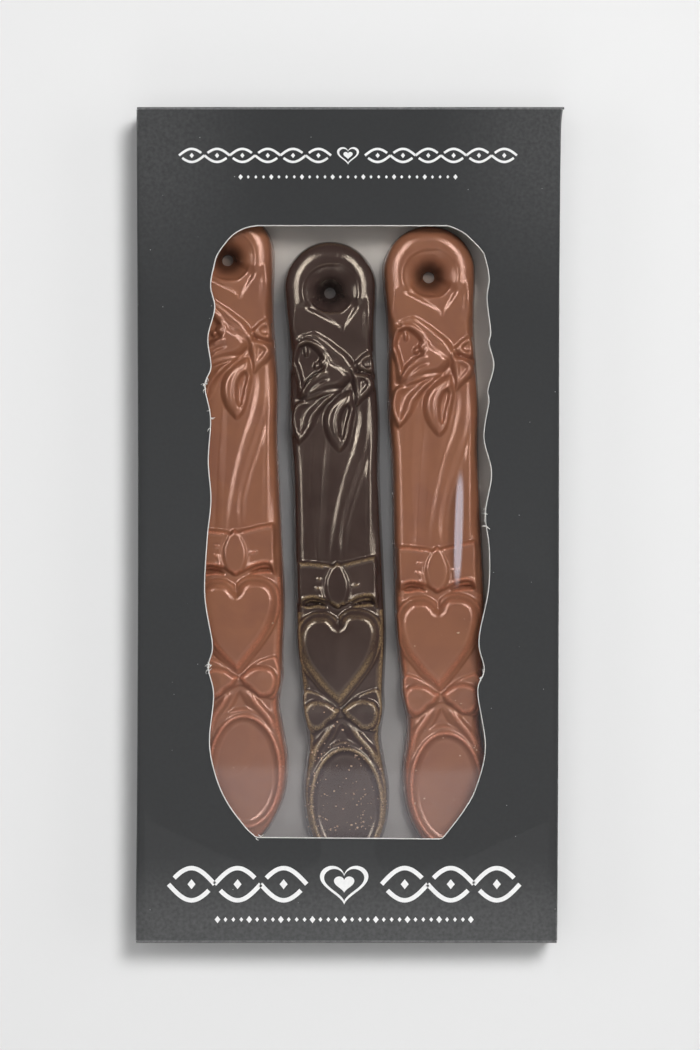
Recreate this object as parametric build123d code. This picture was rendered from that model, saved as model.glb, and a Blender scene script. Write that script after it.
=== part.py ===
from build123d import *
import os
from math import radians, tan

# A window carton that holds three moulded chocolate love spoons in a formed tray.
# The carton lies on its back: X runs across it, Y runs towards its top end and Z comes out of its front.
# The origin is the middle of the outer face of the back panel. All sizes are in millimetres.

# Chocolate spoons
SPOON_LENGTH = 168.6
SPOON_WIDTH = 24.7
SPOON_THICKNESS = 9.4
SPOON_BASE = 4.0  # slab under the carving
SPOON_DRAFT = 0.7  # how far the slab's upper edge draws in
HOLE_DIAMETER = 3.0
HEAD_ABOVE_HOLE = 13.8  # hanging hole to the top of the head

# How the spoons lie in the tray: gap beside the middle one, gap to the tray's head end, and lean
MIDDLE_SPOON_X = -4.8
LEFT_GAP = 2.3
RIGHT_GAP = 1.4
HEAD_GAP = {"left_spoon": 4.3, "middle_spoon": 12.9, "right_spoon": 8.8}
LEAN = {"left_spoon": 1.92, "middle_spoon": 1.80, "right_spoon": 1.88}
SPOON_REST_GAP = 0.1  # under each spoon

# Formed tray
SHEET = 0.4
POCKET_PLAY_X = 14.3  # free width beside the three spoons
POCKET_PLAY_Y = 17.4  # free length for a spoon to slide in
SIDE_SHELF = 7.6
HEAD_SHELF = 18.9
FOOT_SHELF = 8.9
SHELF_HEIGHT = 8.2  # pocket floor to shelf
FLOOR_LIFT = 1.9  # back panel to the underside of the pocket floor
RIB_WIDTH = 8.0
RIB_LENGTH = 120.0
POCKET_RADIUS = 5.0
END_LIP = 3.5
SKIRT_SETBACK = 14.0  # side skirts stop this far from the tray's ends

# Carton
BOARD = 0.5
FILM = 0.2
FILM_MARGIN = 8.0  # glued border of the film round the window
HEADROOM = 3.0  # spoons to film
TRAY_SIDE_GAP = 0.4
TRAY_END_GAP = 0.9
LID_GAP = 0.2  # dust flap to lid
LID_SIDE_GAP = 0.2
GLUE_FLAP_HEIGHT = 11.0
GLUE_FLAP_SETBACK = 8.0
TUCK_LENGTH = 10.0
TUCK_GAP = 0.4  # tuck to back panel at its fold
TUCK_LEAN = 3.0  # degrees that the tuck springs up from the back panel
TUCK_SIDE_GAP = 1.5
TUCK_CORNER = 6.0
BACK_END_GAP = 0.2  # back panel's raw edge to the outer face of the lid
DUST_LENGTH = 22.0
DUST_TAPER = 15.0
DUST_TOP_GAP = 1.3  # below the outer face of the front panel, at the fold
DUST_LIFT = 2.5  # above the back panel, so that the tuck passes under

# Sizes that follow from those
pitch_left = SPOON_WIDTH + LEFT_GAP
pitch_right = SPOON_WIDTH + RIGHT_GAP
pocket_width = 3 * SPOON_WIDTH + LEFT_GAP + RIGHT_GAP + POCKET_PLAY_X
pocket_length = SPOON_LENGTH + POCKET_PLAY_Y
tray_width = pocket_width + 2 * SIDE_SHELF
tray_length = pocket_length + HEAD_SHELF + FOOT_SHELF
carton_width = tray_width + 2 * (TRAY_SIDE_GAP + 2 * BOARD)
carton_length = tray_length + 2 * (TRAY_END_GAP + LID_GAP + 2 * BOARD)
floor_top = BOARD + FLOOR_LIFT + SHEET
spoon_bottom = floor_top + SPOON_REST_GAP
carton_depth = spoon_bottom + SPOON_THICKNESS + HEADROOM + FILM + BOARD
pocket_head_y = tray_length / 2 - HEAD_SHELF
pocket_foot_y = FOOT_SHELF - tray_length / 2
pocket_mid_y = (pocket_head_y + pocket_foot_y) / 2
shelf_top = floor_top + SHELF_HEIGHT
lid_inner_y = carton_length / 2 - BOARD
dust_outer_y = lid_inner_y - LID_GAP
side_end_y = dust_outer_y - BOARD
tuck_axis_z = 2 * BOARD + TUCK_GAP
front_inner_z = carton_depth - BOARD

# Window cut-out: a straight top and foot, with cut sides that wander like a hand-carved edge
WINDOW_TOP_LEFT = (-23.7, 77.9)
WINDOW_TOP_RIGHT = (26.1, 77.9)
WINDOW_FOOT_LEFT = (-23.9, -81.3)
WINDOW_FOOT_RIGHT = (24.3, -81.7)
WINDOW_LEFT_SIDE = [
    (-27.0, 77.2), (-30.3, 75.2), (-33.6, 71.0), (-34.7, 68.0), (-35.7, 62.3), (-34.6, 56.6),
    (-36.4, 48.8), (-35.6, 41.2), (-37.2, 36.2), (-35.7, 27.9), (-36.3, 16.7), (-35.6, 6.5),
    (-36.6, -3.9), (-37.2, -18.5), (-35.2, -31.3), (-36.3, -37.0), (-34.9, -44.3),
    (-36.0, -56.1), (-34.7, -64.3), (-31.7, -71.7), (-26.9, -78.4),
]
WINDOW_RIGHT_SIDE = [
    (28.3, 77.0), (30.7, 75.6), (34.5, 71.8), (35.7, 69.4), (36.7, 64.1), (36.1, 59.0),
    (37.1, 50.3), (36.6, 47.4), (37.9, 41.6), (36.3, 35.2), (36.6, 32.1), (35.3, 22.8),
    (37.3, 13.6), (35.7, 3.1), (36.7, -6.0), (36.5, -16.9), (34.0, -30.0), (35.4, -37.7),
    (33.7, -43.5), (35.7, -57.6), (33.5, -67.8), (30.4, -73.9), (25.6, -80.3),
]

# Carving of the spoon, drawn at DRAWN_WIDTH by DRAWN_LENGTH about the hanging hole, bowl towards -Y
DRAWN_WIDTH = 24.7
DRAWN_LENGTH = 168.6
HEAD_CENTRE = (0.2, 1.4)
HEAD_RADIUS = 12.35
SLAB_SIDE = [
    (11.8, -8.0), (11.6, -16.0), (11.9, -26.0), (12.1, -35.0), (11.6, -47.0), (11.7, -60.0),
    (11.9, -74.0), (12.0, -91.0), (11.1, -104.0), (11.0, -110.0), (9.8, -117.0), (10.4, -123.0),
    (11.5, -132.0), (10.2, -142.0), (5.4, -151.0),
]
SLAB_TIP = (0.0, -154.8)
RING_OUTER = 11.2
RING_CREST = 8.0  # radius of the ring's highest circle
RING_EDGE = 0.30  # height of the ring's outer edge, as a share of the carving's height
RING_SHOULDER = (10.3, 0.74)  # radius and height share of a point on the ring's rounded outside
DISH_RADIUS = 5.0
DISH_LIP = 1.0  # the dish starts this far under the crest
DISH_DEPTH = 3.4
# Each carved form: its outline, its height as a share of the carving's, and the share left on top
CARVED_FORMS = {
    "left collar leaf": (
        [(-9.8, -3.5), (-3.1, -6.0), (0.7, -8.4), (3.1, -10.0), (1.0, -12.6), (-4.2, -10.9), (-9.4, -11.6)],
        0.62, 0.80),
    "right collar leaf": (
        [(3.1, -10.0), (5.7, -6.4), (7.8, -3.6), (10.2, -2.6), (10.6, -8.0), (9.9, -14.6), (5.6, -13.4)],
        0.68, 0.80),
    "upper petal": (
        [(-4.2, -10.9), (-0.6, -12.8), (1.8, -14.6), (4.4, -17.0), (5.4, -19.7), (2.0, -20.4), (-3.0, -17.4)],
        0.72, 0.74),
    "trumpet": (
        [(-8.0, -12.5), (-4.0, -13.5), (2.0, -20.4), (-0.7, -22.6), (-5.4, -22.8), (-8.7, -26.8),
         (-9.6, -24.0), (-10.4, -18.7)],
        0.92, 0.78),
    "lower left petal": (
        [(-9.0, -28.0), (-3.4, -27.0), (1.8, -25.9), (-2.2, -29.9), (-4.8, -32.8), (-5.8, -35.6),
         (-9.3, -39.4), (-11.0, -34.6)],
        0.74, 0.76),
    "lower middle petal": (
        [(4.6, -26.4), (0.4, -28.0), (-2.4, -32.0), (-2.6, -36.8), (1.4, -41.9), (4.1, -35.6), (5.2, -31.1)],
        0.78, 0.74),
    "upper right petal": (
        [(5.9, -19.8), (7.4, -17.6), (10.4, -16.4), (10.9, -19.0), (10.6, -21.4), (8.0, -20.8)],
        0.66, 0.74),
    "lower right petal": (
        [(5.4, -22.2), (8.6, -21.8), (10.9, -24.2), (8.4, -27.9), (5.8, -30.1), (5.6, -26.0)],
        0.76, 0.76),
    "left leaf": (
        [(-9.4, -42.6), (-6.6, -39.6), (-2.0, -43.0), (-2.2, -52.0), (-3.4, -68.4), (-10.2, -67.8),
         (-10.4, -54.0)],
        0.50, 0.84),
    "middle stem": (
        [(3.4, -42.4), (6.4, -42.0), (3.6, -51.8), (1.2, -60.0), (0.4, -69.2), (-2.2, -69.2), (-1.4, -56.0)],
        0.70, 0.70),
    "right leaf": (
        [(8.0, -40.0), (10.2, -36.0), (10.4, -52.0), (9.6, -68.0), (2.4, -69.0), (3.2, -60.0), (5.2, -51.8)],
        0.56, 0.82),
    "left bow loop": (
        [(-10.6, -70.6), (-3.0, -71.7), (-2.6, -82.0), (-6.6, -80.8), (-10.4, -82.4), (-10.9, -76.0)],
        0.84, 0.82),
    "right bow loop": (
        [(1.2, -71.7), (9.4, -69.9), (9.7, -76.0), (9.4, -83.0), (6.0, -80.8), (1.2, -82.0)],
        0.84, 0.82),
    "bow knot": (
        [(-0.7, -71.4), (2.2, -75.0), (2.2, -79.6), (-0.7, -83.0), (-3.6, -79.6), (-3.6, -75.0)],
        1.00, 0.72),
    "heart": (
        [(-0.6, -87.4), (-3.4, -85.4), (-7.0, -84.7), (-10.2, -86.8), (-11.2, -91.2), (-9.6, -96.2),
         (-6.0, -101.6), (-1.3, -107.6), (3.8, -101.6), (7.8, -96.2), (9.6, -90.6), (8.2, -86.4),
         (4.7, -84.6), (1.8, -85.6)],
        0.96, 0.74),
    "neck": (
        [(-4.2, -112.6), (-0.6, -109.4), (3.4, -112.8), (6.6, -118.0), (3.0, -121.0), (-3.0, -121.0),
         (-6.8, -118.0)],
        0.44, 0.86),
}
SCROLL_CENTRES = [(-7.6, -110.9), (6.5, -111.4)]
SCROLL_RADIUS = 3.1
SCROLL_CREST = 0.72
SCROLL_TOP = 0.72
BOWL_RIM = [
    (0.0, -116.6), (6.0, -118.6), (9.0, -123.6), (10.6, -132.0), (9.2, -141.4), (5.0, -149.6), (0.0, -153.4),
    (-5.0, -149.6), (-9.2, -141.4), (-10.6, -132.0), (-9.0, -123.6), (-6.0, -118.6),
]
BOWL_CREST = 0.66
BOWL_RIM_TOP = 0.93
BOWL_DISH_CENTRE = (0.0, -134.6)
BOWL_DISH_RADII = (8.8, 14.8)
BOWL_DISH_FLOOR = 0.70  # share of the dish's outline that is left at its floor
BOWL_DISH_DEPTH = 3.2
SINK = 0.6  # each carved form starts this far inside the slab


def block(low, high):
    """A box between two opposite corners."""
    size = [b - a for a, b in zip(low, high)]
    return Pos(*low) * Box(*size, align=Align.MIN)


def drawn(point):
    """A point of the carving at the spoon's set width and length."""
    x, y = point
    return (x * SPOON_WIDTH / DRAWN_WIDTH, y * SPOON_LENGTH / DRAWN_LENGTH)


def outline(points):
    """A smooth closed face through points of the carving."""
    return make_face(Spline(*[drawn(p) for p in points], periodic=True))


def slab_outline(inset):
    """The spoon's whole outline, drawn in by inset: a round head, wavering sides and a pointed bowl."""
    cx, cy = HEAD_CENTRE
    radius = HEAD_RADIUS - inset
    shoulder = (radius, cy - inset)
    side = [(x - inset, y) for x, y in SLAB_SIDE]
    tip = (SLAB_TIP[0], SLAB_TIP[1] + inset)
    right = [drawn(p) for p in [(cx + shoulder[0], shoulder[1]), *side, tip]]
    left = [drawn(p) for p in [(cx - shoulder[0], shoulder[1]), *[(-x, y) for x, y in side], tip]]
    crown = ThreePointArc(left[0], drawn((cx, cy + radius)), right[0])
    return make_face([crown, Spline(*right), Spline(*left)])


def mound(face, bottom, top, share):
    """A carved form: the face at the bottom, drawn in to a share of itself at the top."""
    middle = face.center()
    crest = scale(Pos(-middle.X, -middle.Y) * face, by=share)
    return loft([Pos(0, 0, bottom) * face, Pos(middle.X, middle.Y, top) * crest])


def spoon_solid():
    """One spoon about its hanging hole, flat back at Z 0, carving upwards."""
    carving = SPOON_THICKNESS - SPOON_BASE
    start = SPOON_BASE - SINK
    slab = loft([slab_outline(0), Pos(0, 0, SPOON_BASE) * slab_outline(SPOON_DRAFT)])
    crest = (RING_CREST, SPOON_THICKNESS)
    edge = (RING_OUTER, SPOON_BASE + carving * RING_EDGE)
    shoulder = (RING_SHOULDER[0], SPOON_BASE + carving * RING_SHOULDER[1])
    core = HOLE_DIAMETER / 4
    ring_section = make_face([
        Polyline(crest, (DISH_RADIUS, SPOON_THICKNESS - DISH_LIP), (core, SPOON_THICKNESS - DISH_DEPTH),
                 (core, start), (RING_OUTER, start), edge),
        ThreePointArc(edge, shoulder, crest),
    ])
    forms = [revolve(Plane.XZ * ring_section, Axis.Z)]
    for points, height, share in CARVED_FORMS.values():
        forms.append(mound(outline(points), start, SPOON_BASE + carving * height, share))
    for centre in SCROLL_CENTRES:
        x, y = drawn(centre)
        disc = Pos(x, y) * Circle(SCROLL_RADIUS)
        forms.append(mound(disc.face(), start, SPOON_BASE + carving * SCROLL_CREST, SCROLL_TOP))
    rim_top = SPOON_BASE + carving * BOWL_CREST
    forms.append(mound(outline(BOWL_RIM), start, rim_top, BOWL_RIM_TOP))
    body = slab.fuse(*forms)
    x, y = drawn(BOWL_DISH_CENTRE)
    dish = Pos(x, y) * Ellipse(*BOWL_DISH_RADII)
    body -= mound(dish.face(), rim_top, rim_top - BOWL_DISH_DEPTH, BOWL_DISH_FLOOR)
    body -= Cylinder(HOLE_DIAMETER / 2, 3 * SPOON_THICKNESS)
    return body.solid()


def spoon_places():
    """Where each spoon's hanging hole lies: side by side, each at its own gap to the tray's head end."""
    columns = {
        "left_spoon": MIDDLE_SPOON_X - pitch_left,
        "middle_spoon": MIDDLE_SPOON_X,
        "right_spoon": MIDDLE_SPOON_X + pitch_right,
    }
    head = drawn((0, HEAD_ABOVE_HOLE))[1]
    return {name: (x, pocket_head_y - HEAD_GAP[name] - head) for name, x in columns.items()}


def tray_solid():
    """The formed tray: a shelf round one long pocket, side skirts, end lips and ribs under the spoons."""
    half_x, half_y = tray_width / 2, tray_length / 2
    floor_bottom = floor_top - SHEET
    pocket_at = Pos(0, pocket_mid_y)
    opening = pocket_at * RectangleRounded(pocket_width, pocket_length, POCKET_RADIUS)
    tub = offset(opening, SHEET)
    tray = Pos(0, 0, floor_bottom) * extrude(tub, shelf_top - floor_bottom)
    tray += block((-half_x, -half_y, shelf_top - SHEET), (half_x, half_y, shelf_top))
    tray -= Pos(0, 0, floor_top) * extrude(opening, shelf_top)
    skirt_y = half_y - SKIRT_SETBACK
    for side in (-1, 1):
        edges = sorted([side * half_x, side * (half_x - SHEET)])
        tray += block((edges[0], -skirt_y, BOARD), (edges[1], skirt_y, shelf_top))
        ends = sorted([side * half_y, side * (half_y - SHEET)])
        tray += block((-half_x, ends[0], shelf_top - END_LIP), (half_x, ends[1], shelf_top))
    for name, (x, y) in spoon_places().items():
        x_rib = x + (y - pocket_mid_y) * tan(radians(LEAN[name]))
        low, high = x_rib - RIB_WIDTH / 2, x_rib + RIB_WIDTH / 2
        foot, head = pocket_mid_y - RIB_LENGTH / 2, pocket_mid_y + RIB_LENGTH / 2
        tray += block((low - SHEET, foot - SHEET, BOARD), (high + SHEET, head + SHEET, floor_bottom))
        tray -= block((low, foot, BOARD + SHEET), (high, head, floor_top))
    return tray.solid()


def window_face():
    """The window's outline."""
    top = Line(WINDOW_TOP_LEFT, WINDOW_TOP_RIGHT)
    right = Spline(WINDOW_TOP_RIGHT, *WINDOW_RIGHT_SIDE, WINDOW_FOOT_RIGHT)
    foot = Line(WINDOW_FOOT_RIGHT, WINDOW_FOOT_LEFT)
    left = Spline(WINDOW_TOP_LEFT, *WINDOW_LEFT_SIDE, WINDOW_FOOT_LEFT)
    return make_face([top, right, foot, left])


def sleeve_panels():
    """The four glued panels of the carton and its glue flap."""
    half_x = carton_width / 2
    front = Rectangle(carton_width, 2 * lid_inner_y) - window_face()
    back_end = carton_length / 2 - BACK_END_GAP
    flap_y = side_end_y - GLUE_FLAP_SETBACK
    flap_x = BOARD - half_x
    flap = make_face(Polyline(
        (-flap_y - GLUE_FLAP_SETBACK / 2, BOARD), (flap_y + GLUE_FLAP_SETBACK / 2, BOARD),
        (flap_y, BOARD + GLUE_FLAP_HEIGHT), (-flap_y, BOARD + GLUE_FLAP_HEIGHT), close=True))
    return {
        "front_panel": Pos(0, 0, front_inner_z) * extrude(front, BOARD),
        "back_panel": block((-half_x, -back_end, 0), (half_x, back_end, BOARD)),
        "left_side_panel": block((-half_x, -side_end_y, BOARD), (flap_x, side_end_y, front_inner_z)),
        "right_side_panel": block((half_x - BOARD, -side_end_y, BOARD), (half_x, side_end_y, front_inner_z)),
        "glue_flap": Pos(flap_x, 0, 0) * extrude(Plane.YZ * flap, BOARD, dir=(1, 0, 0)),
    }


def film_solid():
    """The clear film glued behind the window."""
    box = window_face().bounding_box()
    low, high = box.min, box.max
    return block((low.X - FILM_MARGIN, low.Y - FILM_MARGIN, front_inner_z - FILM),
                 (high.X + FILM_MARGIN, high.Y + FILM_MARGIN, front_inner_z))


def end_closure():
    """The top end's lid, tuck and two dust flaps, closed."""
    half_x = carton_width / 2
    lid_x = half_x - LID_SIDE_GAP
    lid = block((-lid_x, lid_inner_y, tuck_axis_z), (lid_x, lid_inner_y + BOARD, carton_depth))
    tuck_x = half_x - TUCK_SIDE_GAP
    tuck = block((-tuck_x, -TUCK_LENGTH, -BOARD), (tuck_x, 0, 0))
    tuck = fillet(tuck.edges().filter_by(Axis.Z).group_by(Axis.Y)[0], TUCK_CORNER)
    tuck = Location((0, lid_inner_y, tuck_axis_z), (-TUCK_LEAN, 0, 0)) * tuck
    drop = DUST_LENGTH * tan(radians(DUST_TAPER))
    low, high = BOARD + DUST_LIFT, carton_depth - DUST_TOP_GAP
    flaps = {}
    for name, side in (("left", -1), ("right", 1)):
        root, free = side * half_x, side * (half_x - DUST_LENGTH)
        face = make_face(Polyline((root, low), (free, low), (free, high - drop), (root, high), close=True))
        flaps[f"dust_flap_{name}"] = Pos(0, dust_outer_y, 0) * extrude(Plane.XZ * face, BOARD, dir=(0, -1, 0))
    return {"lid": lid, "tuck": tuck, **flaps}


def build():
    """Every piece by name."""
    pieces = {**sleeve_panels(), "window_film": film_solid(), "spoon_tray": tray_solid()}
    for name, piece in end_closure().items():
        pieces[f"top_{name}"] = piece
        pieces[f"bottom_{name}"] = mirror(piece, about=Plane.XZ)
    spoon = spoon_solid()
    for name, (x, y) in spoon_places().items():
        pieces[name] = Location((x, y, spoon_bottom), (0, 0, LEAN[name])) * spoon
    return pieces


os.makedirs("parts", exist_ok=True)
for node, shape in build().items():
    export_step(shape, f"parts/{node}.step")
print(f"carton {carton_width:.2f} x {carton_length:.2f} x {carton_depth:.2f} mm")
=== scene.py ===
"""Looks of the boxed chocolate love spoons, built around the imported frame.

A dark window carton lies on its back and holds three moulded chocolate spoons in a formed tray behind
clear film. Lengths in the classes are millimetres in the part's own frame: X across, Y towards the top
end, Z out of the front.
"""

import logging
import math
import random
from dataclasses import dataclass, field
from enum import Enum

import bmesh
import bpy
import numpy as np
from bpy.types import Material, Node, NodeSocket, NodeTree, Object
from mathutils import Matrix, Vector


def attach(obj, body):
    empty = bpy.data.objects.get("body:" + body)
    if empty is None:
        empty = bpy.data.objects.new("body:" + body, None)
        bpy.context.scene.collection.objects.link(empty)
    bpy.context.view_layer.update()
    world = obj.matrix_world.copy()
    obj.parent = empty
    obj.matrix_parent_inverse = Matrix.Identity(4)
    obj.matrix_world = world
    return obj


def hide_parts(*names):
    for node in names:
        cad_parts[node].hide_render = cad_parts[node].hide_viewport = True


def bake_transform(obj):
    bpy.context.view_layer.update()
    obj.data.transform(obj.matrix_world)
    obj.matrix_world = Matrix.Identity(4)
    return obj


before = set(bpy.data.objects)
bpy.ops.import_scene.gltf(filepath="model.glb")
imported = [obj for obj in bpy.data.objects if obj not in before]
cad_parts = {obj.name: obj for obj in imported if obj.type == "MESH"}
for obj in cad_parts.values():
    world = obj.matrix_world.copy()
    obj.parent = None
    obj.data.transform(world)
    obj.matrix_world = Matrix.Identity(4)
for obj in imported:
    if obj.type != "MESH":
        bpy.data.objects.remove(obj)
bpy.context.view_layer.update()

LOG = logging.getLogger("love_spoons")
MM = 0.001
# Samples of a smooth curve from each of its points to the next, and a blur's reach in its radii.
CURVE_STEPS = 8
BLUR_REACH = 2.5
# A length that counts as none, and the share of a cell that keeps a reading inside its grid.
TINY = 1e-6
SLIVER = 1e-3
Array = np.ndarray
Point = tuple[float, float]
Place = tuple[float, float, float]
Colour = tuple[float, float, float, float]
Face = tuple[int, ...]
Values = Array | float

# Where each spoon's hanging hole lies.
LEFT_HOLE: Point = (-31.8, 69.9)
MIDDLE_HOLE: Point = (-4.8, 61.3)
RIGHT_HOLE: Point = (21.3, 65.4)


class Slot(Enum):
    """The record's material slots."""

    BOARD = "printed_board"
    FILM = "clear_film"
    TRAY = "tray_sheet"
    MILK = "milk_chocolate"
    DARK = "dark_chocolate"


class End(Enum):
    """The carton's two ends, with the sign of Y that they face."""

    TOP = 1
    BOTTOM = -1


class Edge(Enum):
    """How a carved form leaves the ground round it."""

    ROUND = "round"
    SOFT = "soft"


def linear(hex_colour: str) -> Colour:
    """Turn an sRGB hex colour into linear RGBA."""
    channels = [int(hex_colour[i:i + 2], 16) / 255 for i in (1, 3, 5)]
    return (*[c / 12.92 if c <= 0.04045 else ((c + 0.055) / 1.055) ** 2.4 for c in channels], 1.0)


def per_mm(size: float) -> float:
    """Texture scale, for coordinates in metres, whose features are this many millimetres across."""
    return 1.0 / (size * MM)


def add_node(tree: NodeTree, kind: str, values: dict | None = None) -> Node:
    """Add a node with its settings and links.

    Args:
        tree: The node tree that takes the node.
        kind: The node's type, without Blender's prefix.
        values: By property name, input name or input number, a setting or the socket to link. A node
            stands for its first output.

    Returns:
        The new node.
    """
    node = tree.nodes.new(f"ShaderNode{kind}")
    for key, value in (values or {}).items():
        if isinstance(value, Node):
            value = next(socket for socket in value.outputs if not socket.is_unavailable)
        if isinstance(value, NodeSocket):
            tree.links.new(node.inputs[key], value)
        elif isinstance(key, str) and key not in node.inputs:
            setattr(node, key, value)
        else:
            node.inputs[key].default_value = value
    return node


def smooth_path(points: list[Point] | tuple[Point, ...], closed: bool = False) -> Array:
    """Draw a smooth curve through points.

    Args:
        points: The points, in order.
        closed: Whether the curve runs back to its first point.

    Returns:
        The curve's samples, one row each.
    """
    given = np.asarray(points, float)
    if closed:
        padded = np.vstack([given[-1:], given, given[:2]])
    else:
        padded = np.vstack([2 * given[:1] - given[1:2], given, 2 * given[-1:] - given[-2:-1]])
    share = np.linspace(0, 1, CURVE_STEPS, endpoint=False)[:, None]
    spans = []
    for a, b, c, d in zip(padded[:-3], padded[1:-2], padded[2:-1], padded[3:]):
        bend = (2 * a - 5 * b + 4 * c - d) * share ** 2 + (3 * b - a - 3 * c + d) * share ** 3
        spans.append(b + 0.5 * ((c - a) * share + bend))
    if not closed:
        spans.append(given[-1:])
    return np.vstack(spans)


def even_path(path: Array, count: int) -> Array:
    """Space a curve's samples evenly.

    Args:
        path: The curve.
        count: Number of samples.

    Returns:
        The same curve as evenly spaced samples.
    """
    lengths = np.concatenate([[0], np.cumsum(np.linalg.norm(np.diff(path, axis=0), axis=1))])
    places = np.linspace(0, lengths[-1], count)
    return np.stack([np.interp(places, lengths, path[:, axis]) for axis in (0, 1)], axis=1)


def nearest(px: Array, py: Array, path: Array) -> tuple[Array, Array]:
    """Measure grid points against a polyline.

    Args:
        px: X of the grid points.
        py: Y of the grid points.
        path: The polyline's points.

    Returns:
        Each point's distance to the line, and how far along it the nearest place is, from 0 to 1.
    """
    best = np.full(px.shape, np.inf)
    along = np.zeros(px.shape)
    count = len(path) - 1
    for i in range(count):
        (ax, ay), (bx, by) = path[i], path[i + 1]
        dx, dy = bx - ax, by - ay
        share = np.clip(((px - ax) * dx + (py - ay) * dy) / (dx * dx + dy * dy + TINY ** 2), 0, 1)
        gap = (px - ax - share * dx) ** 2 + (py - ay - share * dy) ** 2
        closer = gap < best
        best = np.where(closer, gap, best)
        along = np.where(closer, (i + share) / count, along)
    return np.sqrt(best), along


def depth_in(px: Array, py: Array, outline: Array) -> Array:
    """Measure how far inside a closed outline grid points lie.

    Args:
        px: X of the grid points.
        py: Y of the grid points.
        outline: The outline's points.

    Returns:
        Each point's distance to the outline, negative outside it.
    """
    inside = np.zeros(px.shape, bool)
    for (ax, ay), (bx, by) in zip(outline, np.roll(outline, -1, axis=0)):
        crosses = (ay > py) != (by > py)
        height = by - ay if by != ay else TINY
        inside ^= crosses & (px < (bx - ax) * (py - ay) / height + ax)
    gap, _ = nearest(px, py, np.vstack([outline, outline[:1]]))
    return np.where(inside, gap, -gap)


def ease(share: Values) -> Values:
    """Smooth step from 0 to 1."""
    held = np.clip(share, 0, 1)
    return held * held * (3 - 2 * held)


def ramp(values: Array, start: float, end: float) -> Array:
    """Smooth step from 0 where values reach the start to 1 where they reach the end."""
    return ease((values - start) / (end - start))


def round_over(depth: Array, reach: float) -> Array:
    """Share by which a rounded shoulder has dropped: 1 at the edge, and 0 from this reach inwards."""
    return np.clip(1 - depth / reach, 0, 1) ** 2


def blurred(heights: Array, radius: float) -> Array:
    """Blur a grid of heights.

    Args:
        heights: The grid.
        radius: Radius of the Gaussian blur, in cells.

    Returns:
        The blurred grid.
    """
    reach = max(1, math.ceil(BLUR_REACH * radius))
    weights = np.exp(-0.5 * (np.arange(-reach, reach + 1) / radius) ** 2)
    weights /= weights.sum()
    result = heights
    for axis in (0, 1):
        pad = [(reach, reach) if a == axis else (0, 0) for a in (0, 1)]
        wide = np.pad(result, pad, mode="edge")
        size = result.shape[axis]
        result = sum(w * np.take(wide, range(i, i + size), axis=axis) for i, w in enumerate(weights))
    return result


def quarter_turn(count: int) -> Array:
    """Angles over a quarter turn, both ends included."""
    return np.linspace(0, math.pi / 2, count)


def points_at(x: Values, y: Values, z: Values) -> Array:
    """Points from their coordinates, each an array or one number for all."""
    return np.stack(np.broadcast_arrays(x, y, z), axis=-1)


def lattice(rows: int, columns: int) -> list[Face]:
    """Quads of a grid of points that is numbered row by row."""
    corners = [r * columns + c for r in range(rows - 1) for c in range(columns - 1)]
    return [(i, i + 1, i + columns + 1, i + columns) for i in corners]


def hoops(rings: int, count: int, start: int = 0) -> list[Face]:
    """Quads between closed rings of points that are numbered ring by ring from a start."""
    pairs = [(start + r * count, i, (i + 1) % count) for r in range(rings - 1) for i in range(count)]
    return [(ring + i, ring + j, ring + count + j, ring + count + i) for ring, i, j in pairs]


def make_piece(name: str, points: Array, faces: list[Face], finishes: list[Material],
               finish_of: list[int] | None = None, weld: float = 0.0) -> Object:
    """Make a mesh object from points in millimetres.

    Args:
        name: The piece's name.
        points: Vertices, one row each, in millimetres.
        faces: Vertex numbers of each face.
        finishes: The piece's materials.
        finish_of: The number of each face's material.
        weld: Distance in millimetres under which vertices are joined.

    Returns:
        The new object, linked to the scene.
    """
    mesh = bpy.data.meshes.new(name)
    mesh.from_pydata((np.asarray(points, float) * MM).tolist(), [], [tuple(map(int, f)) for f in faces])
    for finish in finishes:
        mesh.materials.append(finish)
    mesh.polygons.foreach_set("use_smooth", [True] * len(mesh.polygons))
    if finish_of:
        mesh.polygons.foreach_set("material_index", finish_of)
    if weld:
        shell = bmesh.new()
        shell.from_mesh(mesh)
        bmesh.ops.remove_doubles(shell, verts=shell.verts, dist=weld * MM)
        bmesh.ops.recalc_face_normals(shell, faces=shell.faces)
        shell.to_mesh(mesh)
        shell.free()
    mesh.update()
    piece = bpy.data.objects.new(name, mesh)
    bpy.context.scene.collection.objects.link(piece)
    return piece


def places_of(piece: Object) -> Array:
    """A piece's vertices in millimetres, one row each."""
    return np.array([v.co for v in piece.data.vertices]) / MM


def mark(piece: Object, name: str, values: Array) -> None:
    """Give each vertex of a piece a number that its finish reads by this name."""
    marks = piece.data.attributes.new(name, "FLOAT", "POINT")
    marks.data.foreach_set("value", values.astype(np.float32).ravel())


def sharpen(piece: Object, angle: float) -> None:
    """Shade a piece's edges sharp where they turn by more than an angle in degrees."""
    piece.data.set_sharp_from_angle(angle=math.radians(angle))


def bake_modifiers(piece: Object) -> None:
    """Apply a piece's modifiers to its mesh.

    Args:
        piece: The piece.
    """
    shaped = piece.evaluated_get(bpy.context.evaluated_depsgraph_get())
    mesh = bpy.data.meshes.new_from_object(shaped)
    piece.modifiers.clear()
    old = piece.data
    piece.data = mesh
    bpy.data.meshes.remove(old)
    mesh.name = piece.name


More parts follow.
